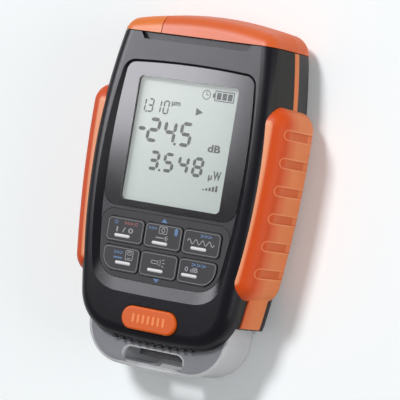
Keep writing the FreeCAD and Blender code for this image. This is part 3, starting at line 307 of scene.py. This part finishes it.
# %% [markdown]
# ## Clear cap, metals and electronics
# The tester's case is clear plastic with a fine frost, so light passes through it but
# blurs. Real transmission with some roughness does this. Its front face is painted darker
# inside a rounded border and round the finger arch, which two masks give: a painted
# shade, while the sides keep the pale frost. Turned and drawn metals show fine rings or
# lines, which a stretched noise gives when it feeds roughness and bump. A cell has three
# bands along its length: dark wrap, gold wrap and bare metal.

# %% Clear case, metals, cells and board
FACE_UP = 21.22 * MM
ARCH_LOW, ARCH_HIGH, ARCH_HALF, ARCH_ROUND = -57.2 * MM, -51.3 * MM, 12.0 * MM, 3.2 * MM
FACE_LOW, FACE_HALF, FACE_ROUND = -57.4 * MM, 25.4 * MM, 12.3 * MM

frosted = Finish("clear_case", (0.90, 0.92, 0.94), 0.16, Transmission_Weight=0.45, IOR=1.46)
# Painted shade: the front face, inside its rounded border and outside the finger arch, is coloured
# dark grey, while the sides keep the pale frost.
face = frosted.place()[2].above(FACE_UP, 40000.0)
face = face * rounded_mask(frosted, FACE_LOW, 0.0, FACE_HALF, FACE_ROUND, 3000.0)
arch = rounded_mask(frosted, ARCH_LOW, ARCH_HIGH, ARCH_HALF, ARCH_ROUND, 3000.0)
clouded = frosted.blend(frosted.noise(70.0), (0.86, 0.88, 0.90), (0.96, 0.97, 0.99))
frosted.feed("Base Color", frosted.blend(face * (1.0 - arch), clouded, (0.37, 0.375, 0.41)))
frosted.grain(frosted.noise(1500.0, 3.0), 3e-5)


def metal(name, color, roughness, stretch, depth=1e-5):
    """Worked metal: noise drawn out along the tool's path sets gloss and bump."""
    made = Finish(name, color, roughness, Metallic=1.0)
    lines = made.noise(900.0, 3.0, stretch)
    made.feed("Roughness", (roughness - 0.08) + lines * 0.16)
    made.feed("Base Color", made.blend(lines, [c * 0.9 for c in color],
                                       [min(c * 1.05, 1.0) for c in color]))
    made.grain(lines, depth)
    return made


steel = metal("turned_steel", (0.60, 0.60, 0.58), 0.28, (1.0, 8.0, 1.0))
plated = metal("plated_spring", (0.66, 0.66, 0.66), 0.24, (1.0, 5.0, 1.0))
screw = metal("screw_steel", (0.45, 0.45, 0.47), 0.33, (4.0, 4.0, 1.0))
gold = metal("contact_gold", (0.86, 0.62, 0.26), 0.22, (1.0, 6.0, 1.0))
brass = metal("module_brass", (0.70, 0.50, 0.22), 0.3, (1.0, 9.0, 1.0))
lamp = Finish("lamp_lens", (0.86, 0.88, 0.90), 0.12, Transmission_Weight=0.3)
lamp.feed("Base Color", lamp.blend(lamp.noise(300.0), (0.84, 0.86, 0.88), (0.92, 0.93, 0.94)))

board = textured("circuit_board", (0.018, 0.120, 0.045), 0.35, spread=0.2)
traces = board.noise(420.0, 0.0, (1.0, 0.12, 1.0))
board.feed("Base Color", board.blend(traces.above(0.52, 30.0), (0.014, 0.100, 0.040),
                                     (0.030, 0.170, 0.065)))

GOLD_FROM, METAL_FROM = 4.5 * MM, 9.85 * MM
cell = Finish("cell_wrap", (0.03, 0.05, 0.10), 0.25)
along = cell.place()[1]
cap = along.above(METAL_FROM, 9000.0)
wrap = cell.blend(along.above(GOLD_FROM, 3000.0), (0.02, 0.035, 0.08), (0.62, 0.42, 0.10))
cell.feed("Base Color", cell.blend(cap, wrap, (0.72, 0.72, 0.70)))
cell.feed("Metallic", cap)
cell.feed("Roughness", 0.22 + cell.noise(60.0) * 0.08)
print("clear, metal and electrical finishes made")

# %% Give each piece its finish
dress = {
    front: ["front_shell"], case: ["rear_shell", "battery_door"],
    grip: ["left_grip", "right_grip"], cover: ["large_port_cover"],
    cover_small: ["small_port_cover"], button: ["release_button"], window: ["display_window"],
    keypad: ["keypad_frame", "key_power", "key_laser", "key_wavelength", "key_save", "key_torch",
             "key_reference"],
    deck: ["port_deck"], socket: ["network_socket", "tester_socket"], lcd: ["lcd_panel"],
    guide: ["backlight"], frosted: ["tester_housing", "tester_lid"],
    steel: ["meter_port", "laser_port", "light_sensor"], brass: ["laser_module"],
    gold: ["network_pins", "tester_pins"],
    plated: ["contact_strips", "contact_springs", "key_domes"],
    screw: ["shell_screws", "hinge_pin"], board: ["main_board"], lamp: ["torch_lamp"],
    cell: ["battery_left", "battery_middle", "battery_right"],
}
for finish, names in dress.items():
    for name in names:
        for holder in meter[name].material_slots:
            holder.material = finish.material
print("finishes:", len(dress), "on", sum(len(names) for names in dress.values()), "pieces")

# %% [markdown]
# ## Printed and raised marks
# A printed mark is a very thin slab that stands on a face. A slab is an outline carried
# from one height to another: stacking the outline at each height gives a grid of points,
# and the two ends are closed with one face each. A line of print is the same idea with a
# small rectangle carried round a path.

# %% Slabs and strips worked out with numpy
def wall(rows, columns, base=0):
    """The quads of a grid of points whose columns run in a closed ring."""
    row, column = np.meshgrid(np.arange(rows - 1), np.arange(columns), indexing="ij")
    after = (column + 1) % columns
    corners = np.stack([row * columns + column, row * columns + after,
                        (row + 1) * columns + after, (row + 1) * columns + column], axis=-1)
    return corners.reshape(-1, 4) + base


def ends(rows, columns, base=0):
    """The two faces that close such a grid: its first ring, turned over, and its last."""
    first, last = base, base + (rows - 1) * columns
    return [list(range(first + columns - 1, first - 1, -1)), list(range(last, last + columns))]


def slabs(outlines, low, high):
    """Points and faces of flat slabs, one for each outline (n x 2, anticlockwise, in mm).

    A slab's points are its outline at height `low` and again at height `high`."""
    points, faces, base = [], [], 0
    for outline in outlines:
        flat = np.asarray(outline, dtype=float)
        count = len(flat)
        points += [np.column_stack([flat, np.full(count, height)]) for height in (low, high)]
        faces += wall(2, count, base).tolist() + ends(2, count, base)
        base += 2 * count
    return np.concatenate(points), faces


def strip(path, wide, low, high, closed=True):
    """A line of print: the path (n x 2) moved to both sides by half its width along its
    own normal, at two heights, which makes a ring of four points at each place."""
    path = np.asarray(path, dtype=float)
    if closed:
        run = np.roll(path, -1, axis=0) - np.roll(path, 1, axis=0)
    else:
        run = np.gradient(path, axis=0)
    run /= np.linalg.norm(run, axis=1, keepdims=True)
    side = np.column_stack([run[:, 1], -run[:, 0]]) * wide / 2
    corners = [np.column_stack([path + side * way, np.full(len(path), height)])
               for way, height in ((1, low), (1, high), (-1, high), (-1, low))]
    points = np.stack(corners, axis=1).reshape(-1, 3)
    rows = len(path)
    if closed:
        return points, (wall(rows + 1, 4) % (4 * rows)).tolist()
    return points, wall(rows, 4).tolist() + ends(rows, 4)


def piece(name, parts, finish, body, smooth=False):
    """One object from (points in mm, faces) parts, facing outwards, riding on a body."""
    points, faces, base = [], [], 0
    for places, around in parts:
        points.append(np.asarray(places) * MM)
        faces += [[index + base for index in face] for face in around]
        base += len(places)
    mesh = bpy.data.meshes.new(name)
    mesh.from_pydata(np.concatenate(points), [], faces)
    mesh.validate()
    mesh.polygons.foreach_set("use_smooth", np.full(len(mesh.polygons), smooth))
    made = bpy.data.objects.new(name, mesh)
    bpy.context.scene.collection.objects.link(made)
    mesh.materials.append(finish.material)
    bpy.context.view_layer.objects.active = made
    bpy.ops.object.select_all(action="DESELECT")
    made.select_set(True)
    bpy.ops.object.mode_set(mode="EDIT")
    bpy.ops.mesh.select_all(action="SELECT")
    bpy.ops.mesh.normals_make_consistent(inside=False)
    bpy.ops.object.mode_set(mode="OBJECT")
    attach(made, body)
    return made


def arc(centre, radius, start, stop, count=9):
    """Points on a circle from one angle in degrees to another."""
    turn = np.radians(np.linspace(start, stop, count))
    return np.column_stack([centre[0] + radius * np.cos(turn),
                            centre[1] + radius * np.sin(turn)])


def rounded(low, high, radii, count=9):
    """A rectangle between two corners (mm) whose four corners, from the lower left
    anticlockwise, are arcs of the given radii."""
    (x0, y0), (x1, y1) = low, high
    a, b, c, d = radii
    return np.concatenate([arc((x0 + a, y0 + a), a, 180, 270, count),
                           arc((x1 - b, y0 + b), b, 270, 360, count),
                           arc((x1 - c, y1 - c), c, 0, 90, count),
                           arc((x0 + d, y1 - d), d, 90, 180, count)])


def bar(centre, wide, tall, radius, count=7):
    """A rounded rectangle about its centre."""
    return rounded((centre[0] - wide / 2, centre[1] - tall / 2),
                   (centre[0] + wide / 2, centre[1] + tall / 2), [radius] * 4, count)


print("slab and strip tools ready")

# %% [markdown]
# ## The reading on the display
# A liquid crystal digit has seven six-sided segments. Each is a bar with pointed ends, so
# it is worked out once, lying along X, and turned and moved to its seven places. A table
# says which segments each digit lights. The reading is made up: 3.548 microwatts, which is
# 24.5 decibels below a milliwatt, at a wavelength of 1.310 micrometres.

# %% Seven-segment digits
ink = Finish("segment_ink", (0.022, 0.026, 0.028), 0.55)
ink.feed("Base Color", ink.blend(ink.noise(80.0), (0.019, 0.022, 0.024), (0.027, 0.031, 0.033)))
INK = (24.5, 24.53)
LIT = {"0": "abcdef", "1": "bc", "2": "abged", "3": "abgcd", "4": "fgbc", "5": "afgcd",
       "8": "abcdefg", "-": "g"}
LEAN = 1 / 14

# Each row has its text, the middle of each digit across the display, its place along it,
# and a digit's width, height and stroke, in mm.
ROWS = [("1310", (-17.3, -14.35, -11.4, -8.45), 26.6, (2.25, 4.6, 0.52)),
        ("-245", (-16.2, -11.8, -5.6, 0.5), 18.8, (4.8, 8.1, 1.2)),
        ("3548", (-9.8, -4.2, 1.4, 6.9), 9.0, (4.2, 6.5, 1.12))]
MINUS_WIDE = 4.3
# Each decimal point has its centre, its size and its corner radius.
POINTS = [((-3.1, 15.2), 0.95, 0.3), ((-7.2, 6.1), 0.8, 0.25), ((-15.8, 24.5), 0.62, 0.2)]


def segment(middle, half, thick, upright):
    """A six-sided bar: points at both ends and straight sides between them."""
    shoulder = half - thick / 2
    lie = np.array([(-half, 0), (-shoulder, -thick / 2), (shoulder, -thick / 2),
                    (half, 0), (shoulder, thick / 2), (-shoulder, thick / 2)])
    if upright:
        lie = np.column_stack([-lie[:, 1], lie[:, 0]])
    return lie + middle


def digit(text, centre, wide, tall, thick):
    """The lit segments of a digit, moved along X by LEAN times the height above its middle."""
    half_x, half_y = (wide - thick) / 2, (tall - thick) / 2
    gap = thick * 0.12
    spots = {"a": ((0, half_y), False), "d": ((0, -half_y), False), "g": ((0, 0), False),
             "b": ((half_x, half_y / 2), True), "c": ((half_x, -half_y / 2), True),
             "f": ((-half_x, half_y / 2), True), "e": ((-half_x, -half_y / 2), True)}
    made = []
    for letter in LIT[text]:
        middle, upright = spots[letter]
        flat = segment(middle, (half_y / 2 if upright else half_x) - gap, thick, upright)
        made.append(flat + np.column_stack([flat[:, 1] * LEAN, np.zeros(len(flat))]) + centre)
    return made


marks = []
for text, places, along, (wide, tall, thick) in ROWS:
    for sign, across in zip(text, places):
        marks += digit(sign, (across, along), MINUS_WIDE if sign == "-" else wide, tall, thick)
marks += [bar(centre, size, size, radius) for centre, size, radius in POINTS]
piece("lcd_reading", [slabs(marks, *INK)], ink, "meter")
print("segments and points:", len(marks))

# %% [markdown]
# Units are small letters, and the flags beside them are plain shapes. Blender's own font
# makes a letter as a curve, which is turned into a mesh, measured, and fitted to the width
# and height that the mark has.

# %% Lettering fitted to a box
def lettering(text, centre, wide, tall, low, high, bold=0.02):
    """Points (mm) and faces of a word, scaled to a width and height about its centre."""
    curve = bpy.data.curves.new("word", type="FONT")
    curve.body = text
    curve.extrude = 0.5
    curve.offset = bold
    curve.resolution_u = 3
    holder = bpy.data.objects.new("word", curve)
    mesh = bpy.data.meshes.new_from_object(holder)
    points = np.array([vertex.co for vertex in mesh.vertices])
    faces = [list(face.vertices) for face in mesh.polygons]
    bpy.data.objects.remove(holder)
    bpy.data.meshes.remove(mesh)
    least, most = points.min(axis=0), points.max(axis=0)
    share = (points - (least + most) / 2) / (most - least)
    return share * (wide, tall, high - low) + (*centre, (low + high) / 2), faces


MICRO = "\u00b5"
UNITS = [(MICRO + "m", (-4.9, 28.0), 3.3, 1.7), ("dB", (11.8, 15.6), 4.8, 2.5),
         (MICRO, (12.0, 6.1), 1.4, 2.0), ("W", (14.5, 7.1), 3.0, 3.0)]
piece("lcd_units", [lettering(*unit, *INK, bold=0.035) for unit in UNITS], ink, "meter")

charge = [bar((10.5 + 2.05 * step, 32.55), 1.65, 2.2, 0.1) for step in range(3)]
battery = [strip(rounded((9.0, 31.0), (16.0, 34.1), [0.2] * 4), 0.32, *INK),
           slabs([bar((8.5, 32.55), 0.6, 1.4, 0.1)] + charge, *INK)]
clock = [strip(arc((5.8, 32.5), 1.45, 0, 360, 29)[:-1], 0.26, *INK),
         strip([(5.8, 33.5), (5.8, 32.9), (5.8, 32.5)], 0.24, *INK, closed=False),
         strip([(5.8, 32.5), (6.2, 32.5), (6.7, 32.5)], 0.24, *INK, closed=False)]
level = slabs([bar((9.0 + 1.2 * step, 2.0 + 0.2 * step), 0.8, 0.4 * step, 0.1)
               for step in range(1, 6)], *INK)
running = slabs([[(2.9, 25.3), (5.6, 26.6), (2.9, 27.9)]], *INK)
piece("lcd_flags", battery + clock + [level, running], ink, "meter")
print("units on the display:", len(UNITS))

# %% [markdown]
# ## Key legends
# Each key carries a thin pale outline just inside its edge, a raised white bar, and small
# plain symbols; three chevrons mean that a key is held down. The two lower outer keys
# follow the large corners of the tray. All of a key's marks ride on the key, so they go
# down with it.

# %% Keys: outlines, bars and symbols
pale = textured("pale_print", (0.30, 0.30, 0.32), 0.5, spread=0.05, grain=5e-6)
edging = textured("key_edging", (0.17, 0.17, 0.18), 0.5, spread=0.05, grain=5e-6)
white = textured("bar_white", (0.72, 0.70, 0.73), 0.38, spread=0.03, grain=5e-6)
blue = textured("blue_print", (0.055, 0.16, 0.36), 0.45, spread=0.06, grain=5e-6)
red = textured("red_print", (0.26, 0.04, 0.035), 0.45, spread=0.06, grain=5e-6)
KEY_TOP = 27.4
PRINT = (KEY_TOP, KEY_TOP + 0.03)
EDGE_INSET = 0.45
BARS = {"key_power": (-15.3, -16.9), "key_laser": (-0.85, -17.2), "key_wavelength": (13.75, -16.8),
        "key_save": (-13.4, -25.6), "key_torch": (-0.9, -26.1), "key_reference": (11.9, -25.7)}
SMALL, LARGE = 1.1, 4.6
CORNERS = {"key_save": [LARGE, SMALL, SMALL, SMALL], "key_reference": [SMALL, LARGE, SMALL, SMALL]}


def raised_bar(centre, wide=5.9, tall=1.15, high=0.35, rings=6):
    """A pill-shaped bar whose top is domed. Each ring is the outline drawn in towards the
    bar's core line, core + (outline - core) cos, and lifted by high sin, over a quarter turn."""
    outline = bar((0, 0), wide, tall, tall / 2 * 0.98)
    half = (wide - tall) / 2
    core = np.column_stack([np.clip(outline[:, 0], -half, half), np.zeros(len(outline))])
    layers = [np.column_stack([outline + centre, np.full(len(outline), KEY_TOP - 0.01)])]
    for turn in np.linspace(0, np.pi / 2, rings + 1)[:-1]:
        layers.append(np.column_stack([core + (outline - core) * np.cos(turn) + centre,
                                       np.full(len(outline), KEY_TOP + high * np.sin(turn))]))
    size = len(outline)
    return np.concatenate(layers), wall(rings + 1, size).tolist() + ends(rings + 1, size)


for name, centre in BARS.items():
    low, high = [np.array(corner[:2]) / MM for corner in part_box(name)]
    outline = rounded(low + EDGE_INSET, high - EDGE_INSET, CORNERS.get(name, [SMALL] * 4))
    piece(name + "_outline", [strip(outline, 0.22, *PRINT)], edging, name)
    piece(name + "_bar", [raised_bar(centre)], white, name, smooth=True)
print("keys dressed:", len(BARS))

# %% Symbols on the keys
HOLD = ">>>"


def line(*places, wide=0.26):
    """A printed line through places."""
    return strip(places, wide, *PRINT, closed=False)


def ring(centre, radius, wide=0.26):
    """A printed circle."""
    return strip(arc(centre, radius, 0, 360, 25)[:-1], wide, *PRINT)


def frame_of(centre, wide, tall):
    """A printed rectangle with small round corners."""
    return strip(bar(centre, wide, tall, 0.25, 4), 0.24, *PRINT)


def word(text, centre, wide, tall):
    """Printed letters or signs."""
    return lettering(text, centre, wide, tall, *PRINT)


swing = np.linspace(-5.0, 5.0, 61)
wave = np.column_stack([14.3 + swing, -14.7 + 0.75 * np.sin(swing * 2 * np.pi / 2.5)])
grey_marks = {
    "key_power": [word("1 / 0", (-14.6, -14.9), 6.4, 1.7)],
    "key_laser": [frame_of((-0.2, -12.9), 2.9, 2.2), ring((-0.2, -12.9), 0.6),
                  line((-2.6, -15.4), (0.4, -15.4), wide=0.34),
                  line((0.7, -15.4), (2.0, -15.4)), line((0.8, -15.1), (1.7, -14.6)),
                  line((0.8, -15.7), (1.7, -16.0))],
    "key_wavelength": [line(*wave, wide=0.3)],
    "key_save": [frame_of((-11.4, -22.8), 2.7, 3.0), frame_of((-11.4, -22.2), 1.3, 0.9),
                 line((-12.1, -23.8), (-10.7, -23.8))],
    "key_torch": [frame_of((-1.6, -23.4), 2.4, 0.9),
                  line((-0.3, -23.9), (0.6, -24.4), (0.6, -22.4), (-0.3, -22.9)),
                  line((1.3, -23.4), (2.3, -23.4)), line((1.2, -22.6), (2.0, -22.1)),
                  line((1.2, -24.2), (2.0, -24.7))],
    "key_reference": [word("0 dB", (12.4, -23.7), 4.9, 1.6)],
}
blue_marks = {
    "key_power": [ring((-18.2, -12.6), 0.55, 0.24)],
    "key_laser": [word(HOLD, (-4.2, -12.6), 3.2, 1.1),
                  slabs([bar((4.7, -12.8), 1.25, 2.4, 0.6)], *PRINT)],
    "key_wavelength": [word(HOLD, (15.9, -12.5), 4.2, 1.15)],
    "key_save": [word(HOLD, (-15.6, -22.3), 3.4, 1.15),
                 line((-17.2, -24.0), (-13.9, -24.0), wide=0.5)],
    "key_reference": [word(HOLD, (14.9, -22.0), 5.4, 1.2)],
}
for name, marks in grey_marks.items():
    piece(name + "_symbol", marks, pale, name)
for name, marks in blue_marks.items():
    piece(name + "_second_symbol", marks, blue, name)
hold_mark = [word(HOLD, (-13.4, -12.6), 3.4, 1.15), ring((-10.6, -12.6), 0.5, 0.24)]
piece("key_power_hold_mark", hold_mark, red, "key_power")
arrows = slabs([[(-1.7, -10.45), (0.7, -10.45), (-0.5, -9.1)],
                [(-1.3, -28.65), (-0.1, -29.95), (1.1, -28.65)]], 27.0, 27.05)
piece("keypad_arrows", [arrows], blue, "meter")
print("symbols printed on", len(grey_marks), "keys")

# %% [markdown]
# ## The release button's ribs
# A row of short upright ribs is moulded on the pill for grip, standing a little proud in
# the same plastic, so mostly their shading shows. They are also coloured paler and
# yellower than the button: a painted highlight on the ribs.

# %% Ribs on the release button
# Painted highlight: the ribs are paler and yellower than the button's plastic.
rib_painted_highlight = textured("button_ribs", (0.95, 0.24, 0.035), 0.5, spread=0.04)
BUTTON_MIDDLE, RIB_FOOT, RIB_TOP = -42.2, 28.08, 28.15
rib_places = np.linspace(-5.7, 5.7, 7)
ribs = slabs([bar((across, BUTTON_MIDDLE), 0.85, 2.9, 0.4) for across in rib_places],
             RIB_FOOT, RIB_TOP)
piece("release_button_ribs", [ribs], rib_painted_highlight, "release_button")
print("ribs on the release button:", len(rib_places))

# %% [markdown]
# ## Battery springs
# Each contact spring is a wire wound into a cone. Its centre line is a helix whose radius
# shrinks with the turn; a small circle carried along that line, in the plane of the line's
# own normal and binormal, makes the wire. The CAD's plain studs stand in for them in the
# motion model, and these springs replace them in the picture.

# %% Conical springs from a circle carried along a helix
SPRING_TIP, SPRING_FOOT, WIRE, SPRING_TURNS = 1.1, 2.4, 0.16, 3.2
CELL_PITCH = 11.1


def cone_spring(across, up, start, length, steps=110, sides=8):
    """Tube round P(t) = (a + r(t) cos, s + L t, z + r(t) sin), r from foot to tip."""
    t = np.linspace(0.0, 1.0, steps)
    turn = 2 * np.pi * SPRING_TURNS * t
    radius = SPRING_FOOT + (SPRING_TIP - SPRING_FOOT) * t
    middle = np.column_stack([across + radius * np.cos(turn),
                              start + WIRE + (length - 2 * WIRE) * t,
                              up + radius * np.sin(turn)])
    ahead = np.gradient(middle, axis=0)
    ahead /= np.linalg.norm(ahead, axis=1, keepdims=True)
    out = np.cross(ahead, (0.0, 1.0, 0.0))
    out /= np.linalg.norm(out, axis=1, keepdims=True)
    lift = np.cross(ahead, out)
    around = np.linspace(0, 2 * np.pi, sides, endpoint=False)[None, :, None]
    tube = middle[:, None, :] + WIRE * (np.cos(around) * out[:, None, :]
                                        + np.sin(around) * lift[:, None, :])
    return tube.reshape(-1, 3), wall(steps, sides).tolist() + ends(steps, sides)


low, high = [np.array(corner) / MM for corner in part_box("contact_springs")]
spring_long = high[1] - low[1]
coils = [cone_spring(across, (low[2] + high[2]) / 2, low[1], spring_long)
         for across in (-CELL_PITCH, 0.0, CELL_PITCH)]
springs = piece("battery_springs", coils, plated, "meter", smooth=True)
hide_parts("contact_springs")
print("springs wound:", len(coils), "each", round(float(spring_long), 2), "mm long")

# %% [markdown]
# ## Case screws
# The screws enter from the back, so their heads face down. Each head is a low dome with a
# cross recess. The dome is a set of rings; a point of it at (x, y) from the axis is sunk
# where it lies in either bar of the cross: the smaller of |x| and |y| is under the bar's
# half width, and the larger is under the bar's half length.

# %% Screws with a cross recess
HEAD_RADIUS, SHANK_RADIUS = 2.1, 1.2
CROWN_Z, CROWN_FALL, UNDER_HEAD_Z, SHANK_END_Z = 5.92, 0.3, 7.5, 19.0
RECESS_DEEP, RECESS_HALF_WIDE, RECESS_HALF_LONG = 0.8, 0.30, 1.25


def case_screw(centre, count=72, head_rings=30):
    """Rings from the middle of the head out to its rim, and up the shank to its end."""
    turns = np.linspace(0, 2 * np.pi, count, endpoint=False)
    circle = np.column_stack([np.cos(turns), np.sin(turns)])
    rings = []
    for radius in np.linspace(0.04, HEAD_RADIUS, head_rings):
        flat = circle * radius
        near, far = np.abs(flat).min(axis=1), np.abs(flat).max(axis=1)
        sunk = RECESS_DEEP * (np.clip((RECESS_HALF_WIDE - near) / 0.10, 0, 1)
                              * np.clip((RECESS_HALF_LONG - far) / 0.25, 0, 1))
        crown = CROWN_Z + CROWN_FALL * (radius / HEAD_RADIUS) ** 2
        rings.append(np.column_stack([flat + centre, crown + sunk]))
    for radius, height in ((HEAD_RADIUS, UNDER_HEAD_Z), (SHANK_RADIUS, UNDER_HEAD_Z),
                           (SHANK_RADIUS, SHANK_END_Z)):
        rings.append(np.column_stack([circle * radius + centre, np.full(count, height)]))
    return np.concatenate(rings), wall(len(rings), count).tolist() + ends(len(rings), count)


low, high = [np.array(corner[:2]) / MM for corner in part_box("shell_screws")]
places = [(x, y) for x in (low[0] + HEAD_RADIUS, high[0] - HEAD_RADIUS)
          for y in (low[1] + HEAD_RADIUS, high[1] - HEAD_RADIUS)]
screws = piece("case_screws", [case_screw(place) for place in places], screw, "meter")
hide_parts("shell_screws")
print("screws placed at", np.round(places, 2).tolist())

# %% [markdown]
# ## Floor, light and camera
# The meter lies on a plain white floor. A key box, high over its top end, gives the
# shadow. A second box to its left shows only in reflections, as the pale sheen across the
# window. A weak third one lifts the right side, and an even white world fills the rest.
# So little light would leave the floor grey. The camera therefore sees a brighter floor,
# with a faint glow, than the one that throws light back at the meter.

# %% Floor
floor_finish = Finish("floor_white", (0.90, 0.90, 0.90), 0.85)
floor_finish.feed("Base Color", floor_finish.blend(floor_finish.noise(3.0), (0.89, 0.89, 0.89),
                                                   (0.91, 0.91, 0.91)))
seen = floor_finish.node("ShaderNodeLightPath", {}, {}, output=0)
bright = floor_finish.node("ShaderNodeBsdfDiffuse", {}, {"Color": (1.05, 1.10, 1.12, 1.0)})
glow = floor_finish.node("ShaderNodeEmission", {},
                         {"Color": (1.0, 1.0, 1.0, 1.0), "Strength": 1.0})
glowing = floor_finish.node("ShaderNodeMixShader", {}, {0: 0.12, 1: bright, 2: glow})
plain = Number(floor_finish, floor_finish.shader.outputs[0])
surface = floor_finish.node("ShaderNodeMixShader", {}, {0: seen, 1: plain, 2: glowing})
floor_finish.tree.links.new(surface.socket,
                            floor_finish.tree.nodes["Material Output"].inputs["Surface"])
floor_mesh = bpy.data.meshes.new("floor")
floor_mesh.from_pydata([(-4, -4, 0), (4, -4, 0), (4, 4, 0), (-4, 4, 0)], [], [(0, 1, 2, 3)])
floor_mesh.materials.append(floor_finish.material)
floor = bpy.data.objects.new("floor", floor_mesh)
bpy.context.scene.collection.objects.link(floor)
print("floor laid")

# %% World and lamps
world = bpy.data.worlds.new("studio")
bpy.context.scene.world = world
world.use_nodes = True
world.node_tree.nodes["Background"].inputs["Color"].default_value = (1.0, 1.0, 1.0, 1.0)
world.node_tree.nodes["Background"].inputs["Strength"].default_value = 0.24


def soft_box(name, place, size, power, tint=(1.0, 1.0, 1.0)):
    """A square lamp at a place, facing the meter: its Z axis points away from the origin."""
    lamp_data = bpy.data.lights.new(name, "AREA")
    lamp_data.shape = "SQUARE"
    lamp_data.size = size
    lamp_data.energy = power
    lamp_data.color = tint
    made = bpy.data.objects.new(name, lamp_data)
    bpy.context.scene.collection.objects.link(made)
    away = np.array(place) / np.linalg.norm(place)
    side = np.cross((0.0, 1.0, 0.0), away)
    side /= np.linalg.norm(side)
    matrix = np.eye(4)
    matrix[:3, :3] = np.column_stack([side, np.cross(away, side), away])
    matrix[:3, 3] = place
    made.matrix_world = Matrix(matrix.tolist())
    return made


soft_box("key_box", (-0.55, 1.30, 2.4), size=0.50, power=48.0)
sheen_box = soft_box("sheen_box", (-0.88, 0.343, 1.0), size=0.64, power=17.0,
                     tint=(0.95, 0.94, 1.0))
sheen_box.visible_diffuse = False
soft_box("fill_box", (1.1, 0.0, 0.4), size=0.7, power=4.0)
print("lamps placed")

# %% [markdown]
# The camera starts over the meter, looking straight down. It rolls about its line of
# sight, leans back by the tilt, and is carried round the meter by the bearing. Then it
# backs away from the point that it aims at.

# %% Camera
BEARING, TILT, ROLL = np.radians((90.42, 30.0, -80.97))
AIM, AWAY = Vector((3.89, -1.29, 14.4)) * MM, 782.1 * MM
camera_data = bpy.data.cameras.new("view")
camera_data.lens = 216.0
camera_data.sensor_width = 36.0
camera_data.clip_start = 0.01
camera = bpy.data.objects.new("view", camera_data)
bpy.context.scene.collection.objects.link(camera)
turned = (Matrix.Rotation(BEARING, 3, "Z") @ Matrix.Rotation(TILT, 3, "X")
          @ Matrix.Rotation(ROLL, 3, "Z"))
camera.matrix_world = Matrix.Translation(AIM + turned.col[2] * AWAY) @ turned.to_4x4()
bpy.context.scene.camera = camera
bpy.context.scene.view_settings.view_transform = "Standard"
print("camera at", [round(v, 3) for v in camera.matrix_world.translation])
